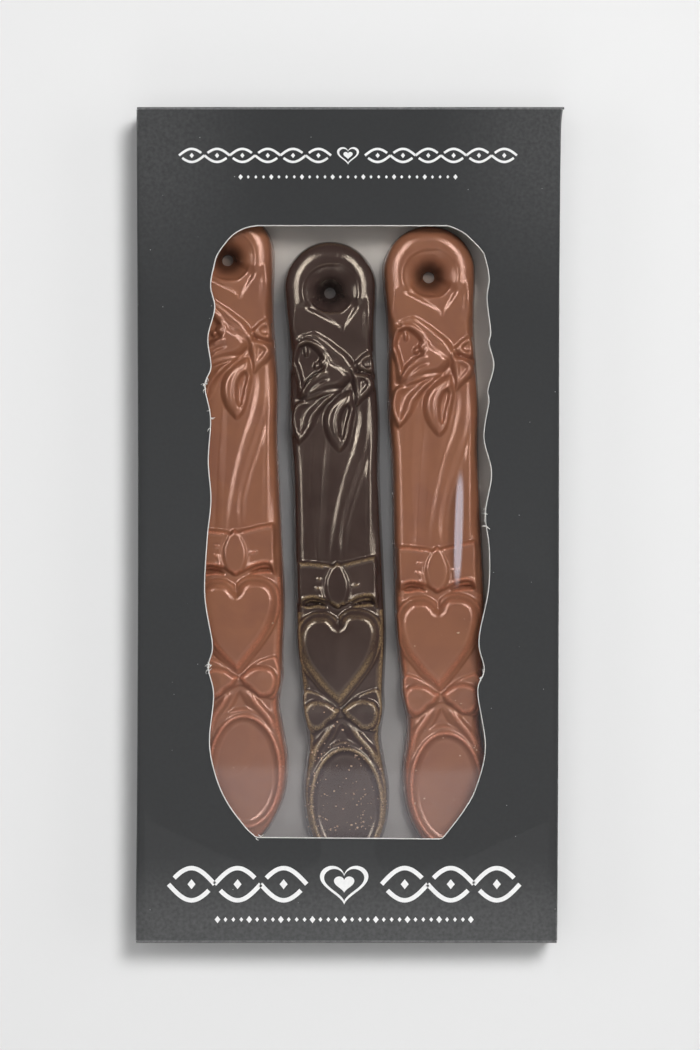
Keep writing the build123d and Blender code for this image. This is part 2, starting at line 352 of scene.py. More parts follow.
def thicken(piece: Object, thickness: float, sharp_angle: float = 50.0) -> None:
    """Give a sheet its thickness inwards, with the next two finishes on its inside and its cut edges.

    Args:
        piece: The sheet.
        thickness: The thickness in millimetres.
        sharp_angle: Least angle of a sharp edge, in degrees.
    """
    sheet = piece.modifiers.new("thickness", "SOLIDIFY")
    sheet.thickness = thickness * MM
    sheet.offset = -1.0
    sheet.use_even_offset = True
    sheet.material_offset = 1
    sheet.material_offset_rim = 2
    bake_modifiers(piece)
    sharpen(piece, sharp_angle)


def dress(piece: Object, slot: Slot, *nodes: str) -> None:
    """Hide the CAD nodes that a piece stands for, and log how many faces it has.

    Args:
        piece: The piece.
        slot: Not used.
        nodes: The nodes' names, or none for a detail.
    """
    if nodes:
        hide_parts(*nodes)
    LOG.info("%s: %d faces, for %s", piece.name, len(piece.data.polygons), ", ".join(nodes) or "detail")


@dataclass(frozen=True)
class Finish:
    """What all finishes share: a material of that name, laid out over the object's own coordinates."""

    name: str

    def surface(self, tree: NodeTree, place: NodeSocket) -> Node:
        """Mix the finish's shader in a node tree, for a place on the object."""
        raise NotImplementedError

    def build(self) -> Material:
        """Make the material.

        Returns:
            The material.
        """
        material = bpy.data.materials.new(self.name)
        material.use_nodes = True
        tree = material.node_tree
        tree.nodes.clear()
        place = add_node(tree, "TexCoord").outputs["Object"]
        add_node(tree, "OutputMaterial", {"Surface": self.surface(tree, place)})
        return material


@dataclass(frozen=True)
class MouldedChocolate(Finish):
    """Tempered chocolate cast in a polished mould.

    It has a soft gloss with faint flow clouds, pale edges that are partly scuffs where pieces rub and partly
    painted highlight, and painted shade that darkens the dish of the hanging hole.
    """

    body: str
    cloud: str
    # Colour of the pale edges: partly scuffs, partly painted highlight.
    scuff_and_sheen: str
    gloss_tint: str
    roughness: float
    # Colour of the painted shade in the hanging hole's dish.
    hollow: str = "#3B2419"
    cloud_size: float = 11.0
    ripple_size: float = 6.0
    ripple_height: float = 0.1
    dust_size: float = 0.35
    unevenness: float = 0.04

    def surface(self, tree: NodeTree, place: NodeSocket) -> Node:
        """Mix the chocolate.

        Args:
            tree: The node tree.
            place: The place on the object.

        Returns:
            The shader.
        """
        clouds = add_node(tree, "TexNoise", {
            "Scale": per_mm(self.cloud_size), "Detail": 5.0, "Distortion": 0.8, "Vector": place})
        spread = add_node(tree, "MapRange", {"From Min": 0.35, "From Max": 0.68, "Value": clouds})
        tone = add_node(tree, "Mix", {
            "data_type": "RGBA", 0: spread, 6: linear(self.body), 7: linear(self.cloud)})
        # Pale edges: partly scuffs where pieces rub, partly painted highlight along the raised edges.
        worn = add_node(tree, "Attribute", {"attribute_name": "worn"}).outputs["Fac"]
        dust = add_node(tree, "TexNoise", {"Scale": per_mm(self.dust_size), "Detail": 3.0, "Vector": place})
        patchy = add_node(tree, "MapRange", {"From Min": 0.32, "From Max": 0.62, "Value": dust})
        paled = add_node(tree, "Math", {"operation": "MULTIPLY", "use_clamp": True, 0: worn, 1: patchy})
        colour = add_node(tree, "Mix", {"data_type": "RGBA", 0: paled, 6: tone, 7: linear(self.scuff_and_sheen)})
        # Painted shade: the colour darkens towards the hanging hole, for the shade deep in its dish.
        hole_shade_mask = add_node(tree, "Attribute", {"attribute_name": "hollow"}).outputs["Fac"]
        hole_shaded = add_node(tree, "Mix", {"data_type": "RGBA", 0: hole_shade_mask, 6: colour, 7: linear(self.hollow)})
        ripple = add_node(tree, "TexNoise", {
            "Scale": per_mm(self.ripple_size), "Detail": 0.0, "Vector": place})
        uneven = add_node(tree, "MapRange", {
            "To Min": self.roughness - self.unevenness, "To Max": self.roughness + self.unevenness,
            "Value": clouds})
        bump = add_node(tree, "Bump", {
            "Strength": 0.06, "Distance": self.ripple_height * MM, "Height": ripple})
        return add_node(tree, "BsdfPrincipled", {
            "IOR": 1.48, "Specular Tint": linear(self.gloss_tint), "Base Color": hole_shaded, "Roughness": uneven,
            "Normal": bump})


@dataclass(frozen=True)
class LaminatedBoard(Finish):
    """Folding boxboard printed dark grey under a matt laminate.

    It looks even and nearly black, with a broad dull sheen, faint paper mottle, stray dust, pale scuffs
    on creases and a faint painted sheen near the top corners and the foot.
    """

    name: str = "boxboard_printed_matt_laminate"
    ink: str = "#2E2F30"
    mottle: str = "#353637"
    dust: str = "#B9B9B9"
    roughness: float = 0.46
    unevenness: Point = (-0.04, 0.05)
    mottle_size: float = 0.9
    mottle_height: float = 0.03
    dust_spacing: float = 3.2
    dust_radius: float = 0.13
    dust_core: float = 0.4
    dust_threshold: float = 0.62

    def surface(self, tree: NodeTree, place: NodeSocket) -> Node:
        """Mix the print and its laminate.

        Args:
            tree: The node tree.
            place: The place on the object.

        Returns:
            The shader.
        """
        fibres = add_node(tree, "TexNoise", {
            "Scale": per_mm(self.mottle_size), "Detail": 4.0, "Vector": place})
        tone = add_node(tree, "Mix", {
            "data_type": "RGBA", 0: fibres, 6: linear(self.ink), 7: linear(self.mottle)})
        # Specks are drawn about twice their real size, because real lint would be finer than a pixel.
        cells = add_node(tree, "TexVoronoi", {"Scale": per_mm(self.dust_spacing), "Vector": place})
        reach = self.dust_radius / self.dust_spacing
        speck = add_node(tree, "MapRange", {
            "From Min": reach, "From Max": reach * self.dust_core, "Value": cells})
        lone = add_node(tree, "SeparateColor", {"Color": cells.outputs["Color"]})
        some = add_node(tree, "Math", {"operation": "GREATER_THAN", 0: lone, 1: self.dust_threshold})
        lint = add_node(tree, "Math", {"operation": "MULTIPLY", 0: speck, 1: some})
        # Pale marks: scuffs on the creases, and painted sheen near the top corners and the foot.
        scuff_and_sheen = add_node(tree, "Attribute", {"attribute_name": "worn"}).outputs["Fac"]
        rub = add_node(tree, "Math", {"operation": "MULTIPLY", 0: scuff_and_sheen, 1: fibres})
        pale = add_node(tree, "Math", {"operation": "ADD", "use_clamp": True, 0: lint, 1: rub})
        colour = add_node(tree, "Mix", {"data_type": "RGBA", 0: pale, 6: tone, 7: linear(self.dust)})
        sheen = add_node(tree, "MapRange", {
            "To Min": self.roughness + self.unevenness[0], "To Max": self.roughness + self.unevenness[1],
            "Value": fibres})
        bump = add_node(tree, "Bump", {
            "Strength": 0.15, "Distance": self.mottle_height * MM, "Height": fibres})
        return add_node(tree, "BsdfPrincipled", {
            "IOR": 1.49, "Specular IOR Level": 0.25, "Base Color": colour, "Roughness": sheen,
            "Normal": bump})


@dataclass(frozen=True)
class FibreBoard(Finish):
    """Bare bleached paperboard, as the carton's inside or as its cut edge.

    It looks chalky and off-white, with cloudy fibre and no gloss.
    """

    light: str
    dark: str
    fibre_size: float
    fibre_height: float = 0.03
    roughness: float = 0.85

    def surface(self, tree: NodeTree, place: NodeSocket) -> Node:
        """Mix the fibre.

        Args:
            tree: The node tree.
            place: The place on the object.

        Returns:
            The shader.
        """
        fibres = add_node(tree, "TexNoise", {
            "Scale": per_mm(self.fibre_size), "Detail": 6.0, "Distortion": 1.5, "Vector": place})
        colour = add_node(tree, "Mix", {
            "data_type": "RGBA", 0: fibres, 6: linear(self.dark), 7: linear(self.light)})
        bump = add_node(tree, "Bump", {
            "Strength": 0.3, "Distance": self.fibre_height * MM, "Height": fibres})
        return add_node(tree, "BsdfPrincipled", {
            "Roughness": self.roughness, "IOR": 1.45, "Base Color": colour, "Normal": bump})


@dataclass(frozen=True)
class CastFilm(Finish):
    """Clear cast polypropylene film.

    It shows as reflections that grow at a slant, and as painted reflections: faint white laid along its
    buckle and over its foot.
    """

    name: str = "polypropylene_film_cast_clear"
    face_reflection: float = 0.04
    slant_power: float = 5.0
    glare_white: str = "#E2DAE4"
    roughness: float = 0.035
    drift_size: float = 38.0
    drift_height: float = 0.2

    def surface(self, tree: NodeTree, place: NodeSocket) -> Node:
        """Mix the film.

        Args:
            tree: The node tree.
            place: The place on the object.

        Returns:
            The shader.
        """
        drift = add_node(tree, "TexNoise", {
            "Scale": per_mm(self.drift_size), "Detail": 2.0, "Vector": place})
        bump = add_node(tree, "Bump", {
            "Strength": 0.1, "Distance": self.drift_height * MM, "Height": drift})
        facing = add_node(tree, "LayerWeight", {"Blend": 0.5, "Normal": bump}).outputs["Facing"]
        slant = add_node(tree, "Math", {"operation": "POWER", 0: facing, 1: self.slant_power})
        mirror = add_node(tree, "Math", {
            "operation": "MULTIPLY_ADD", 0: slant, 1: 1 - self.face_reflection, 2: self.face_reflection})
        clear = add_node(tree, "BsdfTransparent")
        # Painted reflection: a white diffuse laid where the film is marked, along the buckle and over the
        # foot.
        glare_mask = add_node(tree, "Attribute", {"attribute_name": "worn"}).outputs["Fac"]
        white = add_node(tree, "BsdfDiffuse", {"Color": linear(self.glare_white)})
        sheet = add_node(tree, "MixShader", {0: glare_mask, 1: clear, 2: white})
        gloss = add_node(tree, "BsdfAnisotropic", {"Roughness": self.roughness, "Normal": bump})
        return add_node(tree, "MixShader", {0: mirror, 1: sheet, 2: gloss})


@dataclass(frozen=True)
class FormedSheet(Finish):
    """Vacuum-formed polystyrene sheet.

    It is satin and pale at the pocket's ends and sides, painted darker grey along its middle as painted
    shade between the spoons, and with painted shade under each hanging hole.
    """

    name: str = "polystyrene_vacuum_formed_grey"
    # The pale tone is the sheet's own colour; the grey one is painted shade along the middle, between the
    # spoons.
    thick: str = "#C8C0B7"
    thin: str = "#505153"
    streak: str = "#8A8683"
    roughness: float = 0.34
    streak_size: float = 7.0
    streak_height: float = 0.1
    streak_draw: float = 0.2
    head: Point = (58.0, 74.0)
    foot: Point = (-5.0, -70.0)
    flank: Point = (28.0, 33.0)
    hole_shades: tuple[tuple[Point, str], ...] = (
        (LEFT_HOLE, "#5E4A3E"), (MIDDLE_HOLE, "#3A2F2B"), (RIGHT_HOLE, "#7A685C"))
    hole_shade_reach: Point = (1.6, 3.4)

    def surface(self, tree: NodeTree, place: NodeSocket) -> Node:
        """Mix the sheet.

        Args:
            tree: The node tree.
            place: The place on the object.

        Returns:
            The shader.
        """
        drawn = add_node(tree, "Mapping", {"Scale": (1.0, self.streak_draw, 1.0), "Vector": place})
        streaks = add_node(tree, "TexNoise", {
            "Scale": per_mm(self.streak_size), "Detail": 4.0, "Vector": drawn})
        axes = add_node(tree, "SeparateXYZ", {"Vector": place})
        x, y = axes.outputs["X"], axes.outputs["Y"]
        # Painted shade: the colour is darkest along the middle, between the spoons, and pales towards the
        # pocket's head, foot and long sides.
        head = add_node(tree, "MapRange", {
            "From Min": self.head[0] * MM, "From Max": self.head[1] * MM, "Value": y})
        foot = add_node(tree, "MapRange", {
            "From Min": self.foot[0] * MM, "From Max": self.foot[1] * MM, "To Max": 0.28, "Value": y})
        side = add_node(tree, "Math", {"operation": "ABSOLUTE", 0: x})
        flank = add_node(tree, "MapRange", {
            "From Min": self.flank[0] * MM, "From Max": self.flank[1] * MM, "Value": side})
        ends = add_node(tree, "Math", {"operation": "MAXIMUM", 0: head, 1: foot})
        lit_share = add_node(tree, "Math", {"operation": "MAXIMUM", 0: ends, 1: flank})
        tone = add_node(tree, "Mix", {
            "data_type": "RGBA", 0: lit_share, 6: linear(self.thin), 7: linear(self.thick)})
        faint = add_node(tree, "MapRange", {"To Max": 0.35, "Value": streaks})
        colour = add_node(tree, "Mix", {"data_type": "RGBA", 0: faint, 6: tone, 7: linear(self.streak)})
        level = add_node(tree, "CombineXYZ", {"X": x, "Y": y})
        # Painted shade on the tray under each spoon's hanging hole.
        core, rim = self.hole_shade_reach
        for (hole_x, hole_y), hole_shade_colour in self.hole_shades:
            away = add_node(tree, "VectorMath", {
                "operation": "DISTANCE", 0: level, 1: (hole_x * MM, hole_y * MM, 0.0)})
            hole_shadow = add_node(tree, "MapRange", {
                "From Min": rim * MM, "From Max": core * MM, "To Max": 0.9, "Value": away})
            colour = add_node(tree, "Mix", {"data_type": "RGBA", 0: hole_shadow, 6: colour, 7: linear(hole_shade_colour)})
        bump = add_node(tree, "Bump", {
            "Strength": 0.2, "Distance": self.streak_height * MM, "Height": streaks})
        return add_node(tree, "BsdfPrincipled", {
            "Roughness": self.roughness, "IOR": 1.59, "Specular IOR Level": 0.35, "Base Color": colour,
            "Normal": bump})


@dataclass(frozen=True)
class ScreenInk(Finish):
    """Opaque white ink printed over the laminate: flat, bright and a little uneven in cover."""

    name: str = "white_ink_screen_printed"
    full: str = "#F4F4F3"
    thin: str = "#DCDCDC"
    cover_size: float = 0.6
    roughness: float = 0.5

    def surface(self, tree: NodeTree, place: NodeSocket) -> Node:
        """Mix the ink.

        Args:
            tree: The node tree.
            place: The place on the object.

        Returns:
            The shader.
        """
        cover = add_node(tree, "TexNoise", {
            "Scale": per_mm(self.cover_size), "Detail": 3.0, "Vector": place})
        colour = add_node(tree, "Mix", {
            "data_type": "RGBA", 0: cover, 6: linear(self.full), 7: linear(self.thin)})
        return add_node(tree, "BsdfPrincipled", {
            "Roughness": self.roughness, "IOR": 1.5, "Base Color": colour})


def seen_ray(tree: NodeTree, glossy: float) -> Node:
    """Tell rays that show a backdrop from rays that light the object.

    Args:
        tree: The node tree.
        glossy: The share that a reflected ray counts.

    Returns:
        The node that gives 1 for a ray straight from the camera or through something clear.
    """
    rays = add_node(tree, "LightPath").outputs
    straight = add_node(tree, "Math", {
        "operation": "ADD", 0: rays["Is Camera Ray"], 1: rays["Is Transmission Ray"]})
    return add_node(tree, "Math", {
        "operation": "MULTIPLY_ADD", 0: rays["Is Glossy Ray"], 1: glossy, 2: straight})


@dataclass(frozen=True)
class PaintedFloor(Finish):
    """Floor in pale matt paint, which is even and dull and runs into the room's pale walls far away."""

    name: str = "studio_floor_painted_matt"
    paint: str = "#E6E6E6"
    wall: str = "#E8E8E8"
    fade: Point = (0.4, 1.3)
    mottle_size: float = 60.0

    def surface(self, tree: NodeTree, place: NodeSocket) -> Node:
        """Mix the paint.

        Args:
            tree: The node tree.
            place: The place on the object.

        Returns:
            The shader.
        """
        mottle = add_node(tree, "TexNoise", {
            "Scale": per_mm(self.mottle_size), "Detail": 2.0, "Vector": place})
        rough = add_node(tree, "MapRange", {"To Min": 0.8, "To Max": 0.95, "Value": mottle})
        paint = add_node(tree, "BsdfPrincipled", {
            "Base Color": linear(self.paint), "Specular IOR Level": 0.1, "Roughness": rough})
        away = add_node(tree, "VectorMath", {"operation": "LENGTH", 0: place})
        far = add_node(tree, "MapRange", {
            "interpolation_type": "SMOOTHSTEP", "From Min": self.fade[0], "From Max": self.fade[1],
            "Value": away})
        fade = add_node(tree, "Math", {
            "operation": "MULTIPLY", "use_clamp": True, 0: far, 1: seen_ray(tree, 1.0)})
        wall = add_node(tree, "Emission", {"Color": linear(self.wall)})
        return add_node(tree, "MixShader", {0: fade, 1: paint, 2: wall})


@dataclass(frozen=True)
class Pad:
    """A carved form with an outline.

    Attributes:
        outline: Points of its closed outline.
        level: Height of its top over the spoon's back.
        edge: Width over which it rises or falls to that height.
        inset: How far inside the outline it starts.
        tilt: Slope of its top along X and Y.
        style: How it leaves the ground.
    """

    outline: list[Point]
    level: float
    edge: float
    inset: float = 0.0
    tilt: Point = (0.0, 0.0)
    style: Edge = Edge.ROUND


@dataclass(frozen=True)
class Stroke:
    """A carved ridge, or a groove where its rise is negative.

    Attributes:
        path: Points that it follows.
        rise: Height over the ground.
        width: Half its width.
        taper: Share of its length over which each end fades.
    """

    path: list[Point]
    rise: float
    width: float
    taper: float = 0.15


def ellipse(centre: Point, radii: Point, count: int = 24) -> list[Point]:
    """Points round an ellipse."""
    turns = [2 * math.pi * i / count for i in range(count)]
    return [(centre[0] + radii[0] * math.cos(t), centre[1] + radii[1] * math.sin(t)) for t in turns]


HEART = [
    (-0.5, -87.6), (-1.9, -86), (-3.9, -84.9), (-6.8, -84.9), (-9.1, -86.2), (-10.6, -88.4),
    (-11.2, -91.2), (-10.9, -94.6), (-9.6, -98.1), (-7.2, -101.6), (-4.6, -104.9), (-2, -107.4),
    (-0.7, -108.2), (0.6, -106.9), (1.9, -105.4), (4.8, -102), (7.7, -98), (9.4, -94.1), (10.1, -90.6),
    (9.8, -87.8), (8.4, -85.7), (5.9, -84.5), (2.6, -84.4), (0.6, -85.6),
]
BOWL_CENTRE: Point = (0.25, -134.7)
BOWL_RADII: Point = (9.3, 14.5)
BOWL_DISH = ellipse(BOWL_CENTRE, BOWL_RADII)
SCROLL_CENTRES = [(-7.6, -110.9), (6.3, -111.2)]

# The carving from the head down, as the mould lays one form over another.
COLLAR = [
    Pad([(-8.6, -3.3), (-5.4, -4.2), (-3.1, -5.4), (0.9, -7.9), (2.7, -9.3), (3.1, -9.8), (3.5, -9.2),
         (5.5, -5.9), (7.8, -2.9), (10.3, -1.3), (11, -5), (10.8, -9), (10.4, -15), (10, -22), (0, -23),
         (-9.8, -22), (-10.3, -13), (-9.9, -6)], 8.15, 1.3, tilt=(0, 0.11)),
    Stroke([(9.9, -3.4), (9.7, -8), (9.1, -13)], 0.35, 1.7, 0.4),
]
STEMS = [
    Pad([(-9.6, -30), (-9.7, -40), (-9.9, -51), (-9.8, -65), (-9.6, -73), (-5.6, -73), (-5.3, -65.4),
         (-4.4, -51), (-3.4, -41), (-2, -30)], 7, 2.6, style=Edge.SOFT),
    Stroke([(-6.2, -36), (-7.4, -51), (-7.4, -70)], -0.1, 1.2),
    Pad([(-2, -28), (-2.9, -39), (-3.9, -51), (-4.9, -65.4), (-5.2, -73), (-1.6, -73), (-1.2, -65),
         (0.1, -57.5), (1.9, -51), (3.6, -45.5), (5.4, -38), (5, -28)], 7.02, 2.4, style=Edge.SOFT),
    Stroke([(-2.6, -38), (-4, -51), (-5.2, -65.4), (-5.5, -71)], -0.09, 0.7),
    Pad([(10, -30), (8.2, -41), (5.8, -48.4), (3.4, -55), (1.6, -61), (0.8, -65.4), (0.6, -73),
         (9.6, -73), (9.8, -65.4), (10.4, -56.6), (10.5, -51), (10.8, -44)], 7.1, 2.4, style=Edge.SOFT),
    Pad([(4.6, -26), (5.8, -33), (4, -40.8), (2, -45.7), (0.2, -51.1), (-1.6, -57.7), (-3, -65.4),
         (-3.4, -73), (2, -73), (2.2, -65.4), (2.9, -61), (4.7, -55), (7.1, -48.4), (9.5, -41.8),
         (10.4, -33), (10.4, -26)], 7.18, 2.1, style=Edge.SOFT),
    Stroke([(7.6, -40), (5.2, -46.6), (2.6, -53), (0.6, -60), (-0.4, -70)], 0.08, 1.2),
    Stroke([(9.2, -40), (8.9, -52.1), (8.6, -58.1), (8.5, -63.4), (8.1, -71)], 0.18, 1.3),
]
PETAL_LEFT = [
    (-9.4, -28.8), (-11, -31.6), (-11.3, -34.6), (-10.6, -37.4), (-9.2, -39.8), (-7.4, -37.8),
    (-5.8, -35.4), (-4.8, -32.8), (-2.3, -29.9), (0.5, -27.5), (2.9, -25.6), (-3, -26),
]
FLOWER = [
    Pad(PETAL_LEFT, 8.5, 1.1),
    Pad(PETAL_LEFT, 7.1, 2.6, inset=0.5, style=Edge.SOFT),
    Stroke([(-8.8, -38.9), (-7.2, -37.2), (-5.6, -34.8), (-4.5, -32.2), (-2, -29.2), (1.6, -26.6)],
           0.5, 0.9),
    Pad([(4.6, -26), (1.4, -27.4), (-1.4, -29.8), (-2.8, -33), (-2.6, -36.8), (-0.8, -40.4),
         (1.4, -42.4), (3.3, -39.6), (4.5, -34.8), (5.6, -31), (5.8, -28)], 8.5, 2),
    Pad([(3.9, -29.4), (2, -31), (1, -34.4), (1.3, -38.6), (2.7, -39), (3.9, -35), (4.9, -31)], 7, 1.1,
         style=Edge.SOFT),
    Stroke([(4.4, -28.8), (2, -30.6), (0.7, -34), (1, -39)], 0.4, 0.75),
    Stroke([(5.6, -29.6), (4.5, -34.6), (3.2, -39.2), (1.5, -41.8)], 0.5, 0.75),
    Pad([(5.5, -19.6), (7, -17.7), (8.8, -16.3), (10.6, -16), (11.2, -18.8), (11, -21.8), (8.2, -21.8)],
         8.5, 1.4),
    Pad([(4.8, -21.4), (7.3, -21.2), (9.7, -22.2), (11.2, -24.2), (10.7, -26.4), (8.5, -28.4),
         (5.9, -30.6), (5.5, -27.6)], 8.6, 1.6),
    Stroke([(5.4, -21.3), (7.4, -21.2), (9.4, -21.9), (11, -22.8)], -0.55, 0.6),
    Pad([(7.6, -18.9), (9.3, -17.6), (10.3, -18), (10.4, -20.2), (8.6, -20.6)], 7.7, 0.9,
         style=Edge.SOFT),
    Pad([(6.5, -23), (8.6, -23), (9.9, -24.6), (8.4, -26.8), (6.6, -28.2)], 7.9, 1.2, style=Edge.SOFT),
    Pad([(-8.8, -11.8), (-6.2, -10.7), (-4, -10.4), (-0.6, -12.5), (1.8, -14.5), (4.5, -16.9),
         (6, -19.7), (5, -21.8), (2, -20.4), (-1, -17.5), (-3.5, -14.8), (-6.5, -13.4)], 8.7, 1.9),
    Pad([(-8.9, -12.4), (-6.2, -12.1), (-3.6, -13.4), (-1.8, -15.5), (0.6, -17.6), (3.4, -19.4),
         (5.3, -22.2), (2.9, -25.3), (-1, -26.4), (-4.5, -27.6), (-7.2, -28.3), (-9.3, -27.6),
         (-9.5, -24.2), (-10.1, -21.5), (-10.8, -18.8), (-10.2, -15.2)], 9.2, 2.4, tilt=(-0.04, 0)),
    Pad([(-8.6, -13.6), (-6, -13.1), (-3.7, -14.4), (-2.1, -16.4), (-1.4, -18.8), (-2, -20.9),
         (-4, -22.4), (-6.2, -24.2), (-8.2, -26.2), (-9, -23), (-9.6, -20.2), (-10.3, -18),
         (-9.7, -15.5)], 6.8, 1.5, style=Edge.SOFT),
    Stroke([(-8, -12.9), (-5.6, -13), (-3.2, -14.4), (-1.5, -16.6), (-0.6, -18.6)], 0.35, 0.8),
    Pad(ellipse((-2.3, -18.7), (1.4, 1.4), 12), 8.7, 1.2),
    Pad(ellipse((-4, -19.5), (0.9, 1), 10), 8, 0.8),
    Pad(ellipse((-6.7, -15.5), (0.7, 1.5), 12), 7.8, 0.7),
    Stroke([(-8.4, -27), (-7.2, -25.2), (-5.6, -22.9), (-4.2, -21.6), (-0.8, -21.4)], 0.55, 0.7),
    Stroke([(-7.2, -27), (-5.4, -25.1), (-3.4, -23.6), (-0.6, -22.6)], -0.55, 0.8),
    Stroke([(-9.3, -28.4), (-6.9, -28.7), (-3.4, -27.8), (0.1, -26.7), (2.9, -25.5), (5.1, -23)],
           -0.5, 0.6),
    Stroke([(-7.6, -12.2), (-4.6, -12.3), (-1.6, -14.6), (0.6, -16.6), (3.4, -18.6)], -0.3, 0.55),
    Pad(ellipse((5.4, -20.9), (1, 1.4), 12), 8.8, 1),
]
BOW = [
    Pad([(-10.9, -71), (-10.4, -70.6), (-6.9, -70.8), (-1.4, -71.9), (-1, -76), (-1.6, -82),
         (-3.7, -81.4), (-6.6, -80.6), (-9.2, -81), (-10.1, -82.7), (-11, -80), (-11, -75)], 8.3, 0.9),
    Pad([(-0.4, -72), (4, -70.7), (8.6, -69.8), (10.1, -70.1), (10.4, -73), (10.2, -77.4), (10.4, -81.5),
         (9.6, -83.4), (8.3, -80.7), (5.4, -80.8), (2.5, -82), (0.6, -82.4), (-0.2, -76)], 8.3, 0.9),
    Pad([(-9.7, -82.2), (-7.8, -81.1), (-5, -81.5), (-3, -82.9), (-5.5, -82.4), (-8.4, -82.7)], 4.8, 0.4,
         style=Edge.SOFT),
    Pad([(9.3, -82.6), (8.3, -81.3), (5.4, -81.5), (2.5, -82.9), (5.6, -82.6), (7.9, -82.5)], 4.8, 0.4,
         style=Edge.SOFT),
    Stroke([(-10.8, -71.4), (-7, -71.5), (-3, -72.3)], 0.3, 0.8),
    Stroke([(0.8, -72.4), (4, -71.4), (8.6, -70.5), (10, -70.9)], 0.3, 0.8),
    Stroke([(-10.3, -82.3), (-9.4, -80.5), (-6.6, -80.1), (-3.6, -80.9)], 0.45, 0.7),
    Stroke([(9.8, -82.9), (8.5, -80.2), (5.4, -80.2), (2.5, -81.3)], 0.45, 0.7),
    Pad([(-0.3, -71), (-1.9, -72.2), (-3, -74.2), (-3.6, -76.8), (-3.3, -79.8), (-2.2, -82.2),
         (-0.4, -83.3), (1.2, -82.2), (2.3, -79.8), (2.6, -76.8), (2, -74.2), (1.1, -72.2)], 8.7, 1),
    Stroke([(-1.6, -72.2), (-3.3, -74.6), (-3.9, -76.8), (-3.6, -80), (-2.6, -82.4)], -0.2, 0.5),
    Stroke([(0.9, -72.2), (2.3, -74.6), (2.9, -76.8), (2.6, -80), (1.5, -82.4)], -0.2, 0.5),
    Stroke([(-5.9, -75.2), (-4.4, -75.5)], 0.35, 0.45, 0.3),
    Stroke([(-6.4, -77.6), (-5.1, -78.1), (-4.6, -79.8), (-4.2, -81)], 0.4, 0.5),
    Stroke([(3.2, -77.5), (5.6, -77.1)], 0.35, 0.45, 0.3),
]
HEART_FORMS = [
    Pad(HEART, 7.5, 0.6, inset=-0.9),
    Pad(HEART, 9, 2.4),
    Stroke([(-0.5, -84.6), (-0.5, -89.4)], -0.5, 0.4, 0.3),
]
SCROLL_LOBES = [
    [(-0.7, -109.9), (-1.9, -109), (-4, -107.5), (-7.2, -106.9), (-9.5, -107.8), (-10.8, -110.4),
     (-10.1, -113.4), (-7.7, -115.3), (-5.4, -114.8), (-3.6, -113.2), (-1.8, -112)],
    [(-0.4, -109.9), (1.1, -108.5), (3.4, -107.2), (6, -107), (8.7, -108.2), (9.7, -111.3),
     (8.2, -114.8), (4.9, -115.5), (3.2, -114.2), (1.8, -112.8), (0.6, -111.9)],
]
SCROLLS = [
    Pad([(-9.8, -104.6), (-7.1, -104.9), (-4, -106.6), (-1.8, -108.6), (-0.6, -109.9), (0.5, -109.2),
         (1.7, -107.8), (4, -106.2), (6.8, -105.1), (9.2, -104.8), (10.4, -108), (10.2, -113),
         (7.5, -116), (2, -113.2), (-0.6, -112.2), (-3.5, -113.6), (-7.8, -115.9), (-11, -112.5),
         (-11.3, -107.6)], 7.4, 0.45),
    *[Pad(lobe, 8.8, 1.5) for lobe in SCROLL_LOBES],
    *[Pad(ellipse(c, (2.7, 2.6), 16), 8.6, 1.9, style=Edge.SOFT) for c in SCROLL_CENTRES],
]
BOWL = [
    Stroke([(-2, -112), (-4.9, -116.6), (-7.6, -120.5), (-9.7, -126.8)], 0.9, 1.6, 0.3),
    Stroke([(1, -112.2), (3.8, -116.9), (7, -121), (9.6, -126.2)], 0.9, 1.6, 0.3),
    Pad([(-0.5, -113.2), (2.4, -117.4), (4.2, -119.4), (0.1, -118.8), (-4.2, -119.4), (-3.2, -117.2)], 6,
         1.4, style=Edge.SOFT),
    Pad(BOWL_DISH, 6, 2.2, style=Edge.SOFT),
    Stroke([*BOWL_DISH, BOWL_DISH[0]], 0.6, 0.9, 0.001),
]


